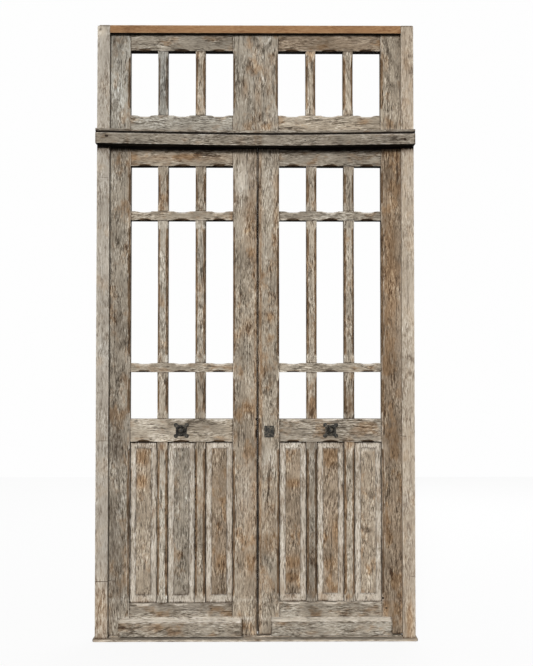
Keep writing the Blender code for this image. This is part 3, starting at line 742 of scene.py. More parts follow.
# Drying cracks, saw cuts and nail holes that show on the real door
CRACKS = tuple(Crack(*row) for row in (
    (0.194, 0.4, 0.194, 0.56, 0.0016), (-0.1225, 0.42, -0.1225, 0.76, 0.0015),
    (-0.1135, 0.36, -0.1135, 0.64, 0.006, 0.004), (0.1385, 0.2, 0.1385, 0.33, 0.0012),
    (0.546, 0.56, 0.546, 0.7, 0.001), (-0.525, 0.3, -0.525, 0.42, 0.001),
    (-0.048, 0.88, -0.048, 1.06, 0.0012), (-0.07, 1.56, -0.07, 1.9, 0.0011),
    (0.045, 1.15, 0.045, 1.42, 0.001), (0.085, 1.7, 0.085, 2.02, 0.0012),
    (-0.65, 0.5, -0.65, 0.9, 0.0013), (-0.675, 1.25, -0.675, 1.7, 0.0012),
    (-0.63, 1.9, -0.63, 2.2, 0.001), (0.64, 0.62, 0.64, 0.98, 0.0014), (0.678, 1.4, 0.678, 1.8, 0.0012),
    (0.63, 2.0, 0.63, 2.24, 0.001), (-0.73, 1.1, -0.73, 1.6, 0.001), (-0.742, 1.9, -0.742, 2.18, 0.001),
    (0.74, 0.7, 0.74, 1.15, 0.001), (0.725, 1.5, 0.725, 1.9, 0.001), (0.04, 2.5, 0.04, 2.86, 0.0012),
    (-0.06, 2.56, -0.06, 2.76, 0.001), (-0.65, 2.52, -0.65, 2.8, 0.001),
    (-0.768, 2.202, -0.699, 2.199, 0.002, 0.0015), (-0.768, 0.94, -0.699, 0.942, 0.0018, 0.0015),
    (-0.79, 0.278, -0.68, 0.278, 0.0026, 0.0004), (0.69, 0.965, 0.722, 0.963, 0.003, 0.001),
    (0.735, 0.3, 0.775, 0.303, 0.0022, 0.001), (-0.716, 2.391, -0.697, 2.389, 0.011, 0.0),
    (0.702, 2.376, 0.718, 2.374, 0.012, 0.0), (0.602, 0.193, 0.614, 0.193, 0.011, 0.0),
    (0.616, 0.146, 0.63, 0.146, 0.006, 0.0), (0.003, 0.951, 0.004, 0.998, 0.008, 0.0),
    (0.004, 1.036, 0.004, 1.05, 0.008, 0.0),
    *((-0.286, z, -0.286, z + 0.012, 0.005, 0.0)
      for z in (0.375, 0.402, 0.431, 0.47, 0.505, 0.56, 0.655, 0.689, 0.72, 0.762, 0.801)),
))


@dataclass
class Oak:
    """What every piece of oak has: its place in the timber, its weathering and its finish."""

    name: str
    body: str
    depth: Span
    finish: OakFinish = OLD_OAK
    grain: Grain = Grain.UPRIGHT
    wear: float = 1.0
    stands_for_node: bool = True
    # Grime on hidden ends, and painted shade in grooves and hollows, from 0 to 1.
    grime_and_shade: np.ndarray | float = field(default=0.0, init=False)

    @property
    def number(self) -> int:
        """The piece's own number, from which its timber and its chances follow."""
        return NUMBERS.get(self.name, 100 + len(self.name))

    def split(self, places: np.ndarray) -> tuple[np.ndarray, np.ndarray, np.ndarray]:
        """Side, depth and along-grain coordinates of every vertex."""
        if self.grain is Grain.UPRIGHT:
            return places[:, 0].copy(), places[:, 1].copy(), places[:, 2].copy()
        return places[:, 2].copy(), places[:, 1].copy(), places[:, 0].copy()

    def joined(self, side: np.ndarray, deep: np.ndarray, along: np.ndarray) -> np.ndarray:
        """World places from side, depth and along-grain coordinates."""
        if self.grain is Grain.UPRIGHT:
            return stacked(side, deep, along)
        return stacked(along, deep, side)

    def timber_places(self, places: np.ndarray) -> np.ndarray:
        """Where each vertex lies in the board's own timber: across, depth, along the grain."""
        side, deep, along = self.split(places)
        for knot in KNOTS:
            x, z = places[:, 0] - knot.x, places[:, 2] - knot.z
            across, run = (x, z) if self.grain is Grain.UPRIGHT else (z, x)
            near = np.exp(-(across / knot.radius) ** 2 - (run / knot.radius / 1.8) ** 2)
            side -= across * near * 0.65
        shift = np.array([self.number * 1.37 % 5.0, self.number * 0.61 % 3.0,
                          self.number * 2.93 % 7.0])
        return stacked(side, deep, along) + shift

    def relieve(self, piece: Piece, exposed: np.ndarray) -> None:
        """Sink the softer wood between the grain's ridges; nothing is ever raised.

        Args:
            piece: The mesh to change.
            exposed: 1 where the weather reaches, 0 on mating faces.
        """
        places = coordinates(piece)
        timber = self.timber_places(places)
        ridges = noise_at(timber * np.array([95.0, 95.0, 7.0]))
        fine = noise_at(timber * np.array([210.0, 210.0, 16.0]))
        waves = noise_at(timber * np.array([16.0, 16.0, 3.0]))
        sink = 0.00040 * (1 + ridges) + 0.00020 * (1 + fine) + 0.00035 * (1 + waves)
        places -= normals(piece) * (sink * self.wear * exposed)[:, None]
        set_coordinates(piece, places)

    def marks(self, places: np.ndarray, worn: np.ndarray, cut: np.ndarray) -> np.ndarray:
        """Weathering of each vertex.

        Args:
            places: World places.
            worn: Nearness to an arris, from 0 to 1.
            cut: 1 on a sheltered chamfer, -1 on one that rain falls on, down to -1.45 on the upper
                faces of a moulded board, which carry a painted highlight, 0 elsewhere.

        Returns:
            Rows of worn arris, brown, grime with painted shade, and pale wood with some painted
            highlight.
        """
        channels = np.zeros((len(places), 4))
        channels[:, 0] = worn
        sunk = smoothstep((places[:, 1] - self.depth[0] - 0.0055) / 0.0045)
        channels[:, 1] = 0.95 * np.maximum(cut, 0.0)
        channels[:, 2] = (0.42 + 0.46 * sunk) * np.maximum(cut, 0.0)
        channels[:, 3] = 0.70 * np.maximum(-cut, 0.0)
        front = places[:, 1] < self.depth[0] + 0.020
        low, high = places.min(axis=0), places.max(axis=0)
        for patch in PATCHES:
            wide, tall = 2.2 * patch.half_width, 2.2 * patch.half_height
            if min(patch.x + wide - low[0], high[0] - patch.x + wide,
                   patch.z + tall - low[2], high[2] - patch.z + tall) < 0.0:
                continue
            # The wide bands of painted shadow under the drip moulding fall only on the boards behind
            # it, not on the moulding itself.
            if self.depth[0] < -0.03 and patch.half_width > 0.25 and patch.z < low[2] + 0.02:
                continue
            reach = ((places[:, 0] - patch.x) / patch.half_width) ** 2
            reach = reach + ((places[:, 2] - patch.z) / patch.half_height) ** 2
            share = patch.strength * np.exp(-reach * 0.9) * front
            channels[:, patch.mark.value] = np.maximum(channels[:, patch.mark.value], share)
        _, _, along = self.split(places)
        for end in (along.min(), along.max()):
            darkening = 0.80 * np.exp(-np.maximum(np.abs(along - end) - 0.0038, 0.0) / 0.0020)
            channels[:, 2] = np.maximum(channels[:, 2], darkening)
        return np.clip(channels, 0.0, 1.0)

    def cracks(self, places: np.ndarray) -> np.ndarray:
        """Offset to a crack's line, share of its length and half its width at each vertex."""
        rows = np.tile([1.0, 0.5, 0.0], (len(places), 1))
        low, high = places.min(axis=0), places.max(axis=0)
        front = places[:, 1] < self.depth[0] + 0.012
        for crack in CRACKS:
            if min(high[0] - crack.x, crack.end_x - low[0], high[2] - crack.z,
                   crack.end_z - low[2]) < 0.0:
                continue
            length = math.hypot(crack.end_x - crack.x, crack.end_z - crack.z)
            run = np.array([crack.end_x - crack.x, crack.end_z - crack.z]) / length
            apart = places[:, (0, 2)] - np.array([crack.x, crack.z])
            share = apart @ run / length
            line = stacked(share * length * 9.0 + crack.x * 40, crack.z * 9.0, 0.0)
            offset = apart[:, 0] * run[1] - apart[:, 1] * run[0]
            reach = 0.0065 if run[1] > 0.7 else 0.0135
            offset = offset - crack.sway * noise_at(line)
            margin = 0.014 / length
            near = (np.abs(offset) < reach) & front & (share > -margin) & (share < 1 + margin)
            rows[near] = stacked(offset, share, crack.width / 2)[near]
        return rows

    def dress(self, piece: Piece, worn: np.ndarray, cut: np.ndarray,
              material: Material) -> None:
        """Give the mesh its attributes and its finish, and let it ride on its body.

        Args:
            piece: The finished mesh.
            worn: Nearness to an arris, from 0 to 1.
            cut: 1 on a sheltered chamfer, -1 on one that rain falls on, down to -1.45 on the upper
                faces of a moulded board, which carry a painted highlight, 0 elsewhere.
            material: The oak's finish.
        """
        places = coordinates(piece)
        mesh = piece.data
        weathering = self.marks(places, worn, cut)
        # Painted shade: faces that look downwards are darkened, nearly to black.
        down = -normals(piece)[:, 2]
        underside_shade = np.maximum(smoothstep((down - 0.80) / 0.15),
                               0.88 * smoothstep((down - 0.55) / 0.10))
        weathering[:, 2] = np.maximum(np.maximum(weathering[:, 2], underside_shade), self.grime_and_shade)
        add_attribute(mesh, "timber", "FLOAT_VECTOR", self.timber_places(places))
        add_attribute(mesh, "marks", "FLOAT_COLOR", weathering)
        add_attribute(mesh, "cracks", "FLOAT_VECTOR", self.cracks(places))
        lightness, warmth, blueness = TONES.get(self.name, Tone.MIDDLE).value
        sway = np.random.default_rng(self.number).uniform(-0.03, 0.03)
        board = np.tile([lightness + sway, warmth + sway, blueness], (len(places), 1))
        add_attribute(mesh, "board", "FLOAT_VECTOR", board)
        mesh.materials.clear()
        mesh.materials.append(material)
        finish_shading(piece)
        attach(piece, self.body)
        if self.stands_for_node:
            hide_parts(self.name)
        LOG.info("%s: %d faces on %s", piece.name, len(mesh.polygons), self.body)


@dataclass
class Timber(Oak):
    """One board, drawn out along its grain, with chamfered and worn arrises.

    A step is (how far the back part stands out past the front part, how deep the front part is),
    and a notch is (how much shorter the front part is at each end, how deep that part is).
    """

    span: Span = (0.0, 1.0)
    sides: Span = (0.0, 0.1)
    low_runs: tuple[Run, ...] = ()
    high_runs: tuple[Run, ...] = ()
    step_low: Span | None = None
    step_high: Span | None = None
    notch: Span | None = None
    profile: Outline | None = None
    arrises: Outline = field(default_factory=list)
    # Points of the section where painted shade is laid.
    shaded_hollows: Outline = field(default_factory=list)
    sag: float = 0.0
    corner_round: float = 0.0
    scoop: float = 0.0
    bedded: bool = False
    breaks: tuple[Break, ...] = ()

    def corners(self) -> list[tuple[float, float, bool]]:
        """Corners of the section as (side, depth, whether the corner is a front arris)."""
        if self.profile is not None:
            return [(side, deep, False) for side, deep in self.profile]
        low, high = self.sides
        front, back = self.depth
        points: list[tuple[float, float, bool]] = []
        if self.step_low:
            out, deep = self.step_low
            points += [(low - out, back, False), (low - out, front + deep, False)]
            points.append((low, front + deep, False))
        else:
            points.append((low, back, False))
        points += [(low, front, True), (high, front, True)]
        if self.step_high:
            out, deep = self.step_high
            points += [(high, front + deep, False), (high + out, front + deep, False)]
            points.append((high + out, back, False))
        else:
            points.append((high, back, False))
        return points

    def outline(self) -> Outline:
        """The section's outline, with close points near the front arrises."""
        corners = self.corners()
        back = max(deep for _, deep, _ in corners)
        points: Outline = []
        for i, (side, deep, arris) in enumerate(corners):
            next_side, next_deep, next_arris = corners[(i + 1) % len(corners)]
            length = math.hypot(next_side - side, next_deep - deep)
            if (arris and next_arris) or self.profile is not None:
                step = FACE_STEP
            else:
                step = BACK_STEP if deep == next_deep == back else SIDE_STEP
            near = FRONT_CLUSTER if arris else PLAIN_CLUSTER
            far = FRONT_CLUSTER if next_arris else PLAIN_CLUSTER
            for distance in spaced(length, near, far, step):
                share = distance / length
                points.append((side + (next_side - side) * share,
                               deep + (next_deep - deep) * share))
        return points

    def draw(self) -> Piece:
        """Fill the section, extrude it along the grain and cut it into even lengths."""
        outline = self.outline()
        deselect_all()
        bpy.ops.mesh.primitive_circle_add(vertices=len(outline), fill_type="NGON")
        piece = bpy.context.object
        rename(piece, self.name + "_dressed")
        side, deep = (np.array(values) for values in zip(*outline))
        set_coordinates(piece, self.joined(side, deep, np.full(len(outline), self.span[0])))
        length = self.span[1] - self.span[0]
        axis = 2 if self.grain is Grain.UPRIGHT else 0
        pull = [0.0, 0.0, 0.0]
        pull[axis] = length
        bpy.ops.object.mode_set(mode="EDIT")
        bpy.ops.mesh.select_all(action="SELECT")
        bpy.ops.mesh.extrude_region_move(TRANSFORM_OT_translate={"value": pull})
        bpy.ops.mesh.select_mode(type="EDGE")
        segments = max(14, math.ceil(length / GRAIN_STEP))
        first = max(1, round(math.sqrt(segments)))
        second = max(1, round(segments / first))
        for cuts in (first - 1, second - 1):
            if cuts:
                select_edges(piece, lambda edge: abs(edge.verts[0].co[axis]
                                                     - edge.verts[1].co[axis]) > TINY)
                bpy.ops.mesh.subdivide(number_cuts=cuts)
        bpy.ops.mesh.select_mode(type="VERT")
        bpy.ops.mesh.select_all(action="SELECT")
        bpy.ops.mesh.normals_make_consistent(inside=False)
        bpy.ops.object.mode_set(mode="OBJECT")
        return piece

    def space_rings(self, along: np.ndarray) -> np.ndarray:
        """Bring the first and last few rings close to the ends and even out the rest."""
        start, end = self.span
        rings, ring = np.unique(np.round(along, 5), return_inverse=True)
        near = [start + distance for distance in END_RINGS]
        far = [end - distance for distance in reversed(END_RINGS)]
        even = np.linspace(near[-1], far[0], len(rings) - 2 * len(END_RINGS) + 2)
        return np.array([*near, *even[1:-1], *far])[ring]

    def ease_ends(self, side: np.ndarray, deep: np.ndarray, along: np.ndarray) -> None:
        """Ease the edges of each end and cut its notch, in place."""
        for edge, inward in ((self.span[0], 1.0), (self.span[1], -1.0)):
            ends = np.abs(along - edge) < TINY
            for values in (side, deep):
                low, high = values[ends].min(), values[ends].max()
                values[ends] = np.clip(values[ends], low + END_EASE, high - END_EASE)
            if self.bedded:
                joint = np.abs(along - edge) < END_RINGS[1] + TINY
                deep[joint] = np.maximum(deep[joint], self.depth[0] + JOINT_EASE)
            if self.notch:
                shorter, notch_depth = self.notch
                near = (np.abs(along - edge) < 1.5 * END_RINGS[-1]) & (deep < notch_depth)
                along[near] += inward * (shorter - 0.4 * np.abs(along[near] - edge))

    def arris_width(self, along: np.ndarray, runs: tuple[Run, ...],
                    chance: np.random.Generator) -> np.ndarray:
        """How much of an arris is gone at each place: chamfer, wear and chips together."""
        spots = stacked(along * 22.0, self.number * 3.7, float(chance.integers(0, 90)))
        width = np.maximum(0.0014 + 0.0009 * self.wear * noise_at(spots), 0.0006)
        for _ in range(int((self.span[1] - self.span[0]) * 4.0 * self.wear)):
            middle = chance.uniform(*self.span)
            reach = chance.uniform(0.008, 0.030)
            depth = chance.uniform(0.0015, 0.0042) * self.wear
            width = np.maximum(width, depth * smoothstep(1.0 - np.abs(along - middle) / reach))
        for run in runs:
            rise = np.minimum(along - run.start, run.end - along) / STOP_LENGTH
            hand = 1.0 + 0.10 * noise_at(spots * 0.45)
            width = np.maximum(width, run.width * hand * smoothstep(rise))
        return width

    def cut_arris(self, side: np.ndarray, deep: np.ndarray, width: np.ndarray, corner: float,
                  inward: float) -> tuple[np.ndarray, np.ndarray]:
        """Take one front arris off, in place.

        Args:
            side: Side coordinates.
            deep: Depth coordinates.
            width: Width to take off at each vertex.
            corner: The arris's side coordinate.
            inward: 1 where the board lies at greater side coordinates, otherwise -1.

        Returns:
            Nearness to the arris, from 0 to 1, and how far each vertex is part of a chamfer.
        """
        front = self.depth[0]
        across = (side - corner) * inward
        down = deep - front
        on_face = (np.abs(down) < TINY) & (across > -TINY)
        on_side = (np.abs(across) < TINY) & (down > -TINY)
        reach = np.where(on_face, across, np.where(on_side, down, 1.0))
        cut = reach < width
        share = np.where(on_face, width + across, width - down) / (2 * width)
        turn = share * math.pi / 2
        flatness = np.clip((width - 0.0025) / 0.003, 0.0, 1.0)
        new_across = width * (flatness * share + (1 - flatness) * (1 - np.cos(turn)))
        new_down = width * (flatness * (1 - share) + (1 - flatness) * (1 - np.sin(turn)))
        side[cut] = corner + inward * new_across[cut]
        deep[cut] = front + new_down[cut]
        worn = np.where(reach < 1.0, np.exp(-np.maximum(reach - width, 0.0) / 0.0025), 0.0)
        chamfer = np.where(cut, np.clip((width - 0.0045) / 0.003, 0.0, 1.0), 0.0)
        return worn * (1.0 - chamfer), chamfer

    def scooped(self, side: np.ndarray, along: np.ndarray) -> np.ndarray:
        """How far the upper edge is worn down between its chamfer stops."""
        sunk = np.zeros(len(side))
        for run in self.high_runs:
            rise = np.minimum(along - run.start, run.end - along) / (1.2 * STOP_LENGTH)
            sunk = np.maximum(sunk, self.scoop * smoothstep(rise))
        return sunk * np.clip((side - self.sides[1] + 0.020) / 0.020, 0.0, 1.0)

    def wear_profile(self, side: np.ndarray, deep: np.ndarray, along: np.ndarray) -> np.ndarray:
        """Round and chip the named arrises of a moulded section, in place.

        Returns:
            Nearness to those arrises, from 0 to 1.
        """
        worn = np.zeros(len(side))
        middle_side, middle_deep = side.mean(), deep.mean()
        for order, (at_side, at_deep) in enumerate(self.arrises):
            apart = np.hypot(side - at_side, deep - at_deep)
            near = np.exp(-((apart / 0.0045) ** 2))
            spots = stacked(along * 30.0, self.number + 11.0 * order, 0.0)
            bite = near * (0.0016 + 0.0016 * np.maximum(noise_at(spots), -0.6)) * self.wear
            side -= bite * np.sign(at_side - middle_side)
            deep -= bite * np.sign(at_deep - middle_deep)
            worn = np.maximum(worn, near)
        return worn

    def break_corners(self, places: np.ndarray) -> tuple[np.ndarray, np.ndarray]:
        """Press whatever stands past a break's plane back onto it.

        Returns:
            The new places, and 1 where the wood is freshly broken.
        """
        broken = np.zeros(len(places))
        for gone in self.breaks:
            normal = np.array(gone.normal) / np.linalg.norm(gone.normal)
            beyond = (places - np.array(gone.point)) @ normal
            touched = beyond > -gone.roughness
            rough = noise_at(places[touched] * 160.0) * gone.roughness
            push = np.maximum(beyond[touched] + rough, 0.0)
            places[touched] -= push[:, None] * normal
            broken[touched] = np.clip(push / 0.002, 0.0, 1.0)
        return places, broken

    def build(self, material: Material) -> Piece:
        """Make the whole board.

        Args:
            material: The oak's finish.

        Returns:
            The board's object.
        """
        piece = self.draw()
        chance = np.random.default_rng(1000 + self.number)
        side, deep, along = self.split(coordinates(piece))
        along = self.space_rings(along)
        exposed = np.clip(np.minimum(along - self.span[0], self.span[1] - along) / 0.003, 0.0, 1.0)
        grime_and_shade = np.where(exposed > 0.0, 0.0, 1.0 if self.bedded else 0.4)
        if self.step_low or self.step_high:
            tongue = (side < self.sides[0] - TINY) | (side > self.sides[1] + TINY)
            exposed[tongue] = 0.0
            # Painted shade on the tongue's faces inside the groove between the leaves.
            groove = tongue & (deep < self.depth[1] - 0.006)
            grime_and_shade[groove] = np.maximum(grime_and_shade[groove], 0.87)
        worn = np.zeros(len(side))
        cut = np.zeros(len(side))
        # Painted shade, near black, in the hollows of a moulded board, such as the moulding's quirk.
        for at_side, at_deep in self.shaded_hollows:
            grime_and_shade = np.maximum(grime_and_shade, np.hypot(side - at_side, deep - at_deep) < 0.0035)
        self.grime_and_shade = grime_and_shade
        if self.profile is not None:
            worn = self.wear_profile(side, deep, along)
        else:
            rained_on = -1.0 if self.grain is Grain.LEVEL else 1.0
            for corner, inward, runs, sign in ((self.sides[0], 1.0, self.low_runs, 1.0),
                                               (self.sides[1], -1.0, self.high_runs, rained_on)):
                width = self.arris_width(along, runs, chance)
                near, chamfer = self.cut_arris(side, deep, width, corner, inward)
                worn = np.maximum(worn, near)
                cut += sign * chamfer
        if self.scoop:
            side -= self.scooped(side, along)
        self.ease_ends(side, deep, along)
        middle = sum(self.span) / 2
        half = (self.span[1] - self.span[0]) / 2
        if self.sag:
            side -= self.sag * (1 - np.abs((along - middle - 0.08) / (half + 0.08)) ** 1.4)
        if self.corner_round:
            past = np.maximum(np.abs(along - middle) - (half - self.corner_round), 0.0)
            limit = self.corner_round - np.sqrt(np.maximum(self.corner_round ** 2 - past ** 2, 0.0))
            back = self.depth[1]
            deep[:] = back - (back - deep) * (1 - limit / (back - self.depth[0]))
        places, broken = self.break_corners(self.joined(side, deep, along))
        set_coordinates(piece, places)
        # Painted highlight: faces of a moulded board that look upwards are made pale.
        if self.profile is not None:
            cut = -1.45 * smoothstep((normals(piece)[:, 2] - 0.7) / 0.25)
        self.relieve(piece, exposed)
        self.dress(piece, np.maximum(worn, broken), cut - broken, material)
        return piece


@dataclass
class Panel(Oak):
    """Raised panel: a flat field, a sharp shoulder and bevelled margins that run into a groove."""

    width: Span = (0.0, 0.1)
    height: Span = (0.0, 0.7)
    side_margin: float = 0.028
    top_margin: float = 0.030
    bottom_margin: float = 0.038
    field_sink: float = 0.008
    shoulder: float = 0.003
    edge_sink: float = 0.018
    back_sink: float = 0.030
    back_bevel: float = 0.003
    bite: float = 0.002

    def lines(self, span: Span, low_margin: float, high_margin: float, step: float) -> np.ndarray:
        """Grid lines across one way of the panel, close together at the shoulders."""
        low, high = span
        margin_step = 0.0045
        low_count = round(low_margin / margin_step)
        high_count = round(high_margin / margin_step)
        places = [low - self.bite, low + 0.0012]
        places += [low + low_margin * i / low_count for i in range(1, low_count)]
        places += [low + low_margin - 0.0003, low + low_margin + 0.0006, low + low_margin + 0.0022]
        first, last = low + low_margin + 0.0022, high - high_margin - 0.0022
        cuts = max(2, round((last - first) / step))
        places += [first + (last - first) * i / cuts for i in range(1, cuts)]
        places += [last, last + 0.0016, last + 0.0025]
        places += [high - high_margin * i / high_count for i in range(high_count - 1, 0, -1)]
        places += [high - 0.0012, high + self.bite]
        return np.array(places)

    def inset(self, x: np.ndarray, z: np.ndarray, side: float = 0.0, foot: float = 0.0,
              top: float = 0.0, fall: float = 1.0) -> np.ndarray:
        """How far inside a frame of those margins each place lies; fall scales the foot's part."""
        return np.min([x - self.width[0] - side, self.width[1] - side - x,
                       (z - self.height[0] - foot) * fall, self.height[1] - top - z], axis=0)

    def front_sink(self, x: np.ndarray, z: np.ndarray) -> np.ndarray:
        """Depth of the panel's outside face below the leaf's face."""
        shares = [(x - self.width[0]) / self.side_margin, (self.width[1] - x) / self.side_margin,
                  (z - self.height[0]) / self.bottom_margin, (self.height[1] - z) / self.top_margin]
        share = np.clip(np.min(shares, axis=0), 0.0, 1.0)
        foot = self.field_sink + self.shoulder
        return np.where(share >= 1.0, self.field_sink,
                        foot + (self.edge_sink - foot) * (1.0 - share))

    def build(self, material: Material) -> Piece:
        """Make the whole panel.

        Args:
            material: The oak's finish.

        Returns:
            The panel's object.
        """
        columns = self.lines(self.width, self.side_margin, self.side_margin, 0.0050)
        rows = self.lines(self.height, self.bottom_margin, self.top_margin, 0.0110)
        deselect_all()
        bpy.ops.mesh.primitive_grid_add(x_subdivisions=len(columns) - 1,
                                        y_subdivisions=len(rows) - 1, size=1.0)
        piece = bpy.context.object
        rename(piece, self.name + "_dressed")
        flat = coordinates(piece)
        column = np.round((flat[:, 0] + 0.5) * (len(columns) - 1)).astype(int)
        row = np.round((flat[:, 1] + 0.5) * (len(rows) - 1)).astype(int)
        x, z = columns[column], rows[row]
        set_coordinates(piece, stacked(x, self.depth[0] + self.edge_sink, z))
        thickness = self.back_sink - self.edge_sink
        extrude_solid((0.0, thickness, 0.0))
        places = coordinates(piece)
        x, deep, z = places.T
        is_front = deep < self.depth[0] + self.edge_sink + thickness / 2
        edge = self.inset(x, z)
        sink = self.front_sink(x, z)
        behind = self.back_sink - self.back_bevel * np.clip(1 - edge / self.back_bevel, 0.0, 1.0)
        places[:, 1] = self.depth[0] + np.where(is_front, sink, behind)
        set_coordinates(piece, places)
        self.relieve(piece, np.clip(edge / 0.002, 0.0, 1.0))

        field_edge = self.inset(x, z, self.side_margin, self.bottom_margin, self.top_margin)
        worn = np.where(is_front, 0.4 * np.exp(-np.abs(field_edge) / 0.003), 0.0)
        margin = np.where(is_front & (field_edge < 0.0), -1.05, 0.0)
        self.dress(piece, worn, margin, material)
        return piece

    def marks(self, places: np.ndarray, worn: np.ndarray, cut: np.ndarray) -> np.ndarray:
        """Weathering of each vertex, with painted shade at the shoulder's foot and under the rail
        above, and grime in the groove.
        """
        channels = super().marks(places, worn, cut)
        x, _, z = places.T
        edge = self.inset(x, z, foot=-0.0055)
        inner = self.inset(x, z, self.side_margin, self.bottom_margin, self.top_margin, 0.8)
        front = places[:, 1] < self.depth[0] + self.edge_sink + 0.004
        darkening = np.exp(-np.maximum(edge - 0.0016, 0.0) / 0.0030)
        # Painted shadow along the panel's top, under the rail above it.
        darkening = np.maximum(darkening, np.exp(-np.maximum(self.height[1] - z - 0.0055, 0.0) / 0.0025))
        spots = stacked(z * 11.0, self.number * 1.9, x * 14.0)
        # Painted shade along the shoulder's foot, all round the field.
        darkening = np.maximum(darkening, (0.86 + 0.16 * noise_at(spots))
                          * np.exp(-((inner + 0.0010) / 0.0030) ** 2))
        low = np.clip((self.height[0] + 0.09 - z) / 0.05, 0.0, 1.0) * (inner > 0)
        channels[:, 2] = np.maximum(channels[:, 2], np.where(front, darkening + 0.12 * low, 0.0))
        honey = np.where(inner < 0.0, smoothstep(0.2 + 1.2 * noise_at(spots + 3.0)), 0.0)
        channels[:, 1] = np.maximum(channels[:, 1], 0.6 * honey)
        channels[:, 3] *= 1.0 - 0.5 * honey
        return np.clip(channels, 0.0, 1.0)


def add_attribute(mesh: bpy.types.Mesh, name: str, kind: str, values: np.ndarray) -> None:
    """Store one row of numbers for each vertex."""
    attribute = mesh.attributes.new(name, kind, "POINT")
    key = "color" if kind == "FLOAT_COLOR" else "vector"
    attribute.data.foreach_set(key, values.astype(np.float32).ravel())


def finish_shading(piece: Piece, angle: float = 35.0) -> None:
    """Smooth the shading except over sharp edges, and leave the piece deselected."""
    activate(piece)
    bpy.ops.object.shade_smooth_by_angle(angle=math.radians(angle))
    piece.select_set(False)


def bitten(span: Span) -> Span:
    """A span that runs a little into what it is jointed to, so that no light comes through."""
    return (span[0] - JOINT_BITE, span[1] + JOINT_BITE)


def reach_of(node: str) -> tuple[Span, Span, Span]:
    """Extent of a solid along X, Y and Z."""
    low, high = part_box(node)
    return ((low[0], high[0]), (low[1], high[1]), (low[2], high[2]))


def gaps_between(spans: list[Span]) -> list[Span]:
    """Clear spans between neighbouring solids, lowest first."""
    ordered = sorted(spans)
    return [(near[1], far[0]) for near, far in zip(ordered, ordered[1:])]


def runs_along(clear: list[Span], width: float) -> tuple[Run, ...]:
    """Stopped chamfers of one width along clear spans."""
    return tuple(Run(low + CHAMFER_LAND, high - CHAMFER_LAND, width) for low, high in clear)


@dataclass
class OuterFrame:
    """Jambs, head, sill, transom rail and the drip moulding nailed over them."""

    finishes: "Finishes"
    moulding_face: float = 0.052
    moulding_quirk: Span = (0.054, 0.060)
    moulding_quirk_floor: float = 0.038
    moulding_fillet: float = 0.042
    moulding_fillet_foot: float = 0.062
    moulding_fillet_top: float = 0.074
    moulding_top: float = 0.078
    moulding_front: float = 0.045
    moulding_sag: float = 0.012
    moulding_lift: float = 0.005
    sill_round: float = 0.012
    threshold_depth: Span = (0.027, 0.060)
    threshold_half: float = 0.699
    threshold_heights: Span = (-0.0015, 0.0065)

    def build(self) -> list[Piece]:
        """Make every board of the outer frame."""
        _, (front, back), _ = reach_of("sill")
        depth = (0.0, back)
        pieces = []
        for side, direction in (("left", -1), ("right", 1)):
            name = "jamb_" + side
            (low, high), _, span = reach_of(name)
            step = (-REBATE_COVER, REVEAL)
            steps = {"step_high": step} if direction < 0 else {"step_low": step}
            jamb = Timber(name, "frame", depth, JAMB_OAK, Grain.UPRIGHT, 0.8, span=span,
                          sides=(low, high), breaks=self.jamb_breaks(direction, span[1]), **steps)
            pieces.append(jamb.build(self.finishes.jamb_oak))
        (low, high), _, sides = reach_of("head")
        notch = (REBATE_COVER, REVEAL + 0.0002)
        head = Timber("head", "frame", depth, NEW_OAK, Grain.LEVEL, 0.45, span=(low, high),
                      sides=sides, notch=notch)
        pieces.append(head.build(self.finishes.new_oak))
        (low, high), _, (bottom, top) = reach_of("transom_rail")
        rail = Timber("transom_rail", "frame", depth, OLD_OAK, Grain.LEVEL, 0.7,
                      span=(low, high), sides=(bottom, top), notch=notch,
                      step_low=(-TRANSOM_RAIL_LIP, REVEAL))
        pieces.append(rail.build(self.finishes.old_oak))
        (low, high), _, sides = reach_of("sill")
        sill = Timber("sill", "frame", (front, back), JAMB_OAK, Grain.LEVEL, 0.8,
                      span=(low, high), sides=sides, corner_round=self.sill_round)
        pieces.append(sill.build(self.finishes.jamb_oak))
        threshold = Timber("threshold", "frame", self.threshold_depth, OLD_OAK, Grain.LEVEL, 0.5,
                           False, span=(-self.threshold_half, self.threshold_half),
                           sides=tuple(sides[1] + rise for rise in self.threshold_heights))
        pieces.append(threshold.build(self.finishes.old_oak))
        pieces.append(self.build_moulding())
        return pieces

    def jamb_breaks(self, direction: int, top: float) -> tuple[Break, ...]:
        """Corners knocked off a jamb's top."""
        if direction < 0:
            return (Break((-0.760, 0.0, top - 0.008), (-0.7, -0.5, 0.8), 0.004),
                    Break((-0.742, 0.0, top), (-0.25, -0.6, 0.5), 0.003))
        return (Break((0.760, 0.0, top - 0.005), (0.8, -0.3, 0.6), 0.003),
                Break((0.699, 0.0, 0.966), (-0.8, -0.6, 0.0), 0.0))

    def build_moulding(self) -> Piece:
        """Drip moulding with a quirk under its top fillet, sagging towards its middle."""
        (low, high), _, (_, top) = reach_of("transom_moulding")
        foot = top - self.moulding_top + self.moulding_lift
        quirk_low, quirk_high = self.moulding_quirk
        section = [
            (0.0, -JOINT_GAP),
            (0.0, -self.moulding_front),
            (self.moulding_face, -self.moulding_front),
            (quirk_low, -self.moulding_quirk_floor),
            (quirk_high, -self.moulding_quirk_floor),
            (self.moulding_fillet_foot, -self.moulding_fillet),
            (self.moulding_fillet_top, -self.moulding_fillet),
            (self.moulding_top, -JOINT_GAP),
        ]
        profile = [(foot + height, deep) for height, deep in section]
        arrises = [profile[1], profile[2], profile[6]]
        shaded_hollows = profile[3:5]
        moulding = Timber("transom_moulding", "frame", (-self.moulding_front, -JOINT_GAP),
                          OLD_OAK, Grain.LEVEL, 0.8, span=(low, high), profile=profile,
                          arrises=arrises, shaded_hollows=shaded_hollows, sag=self.moulding_sag)
        return moulding.build(self.finishes.old_oak)


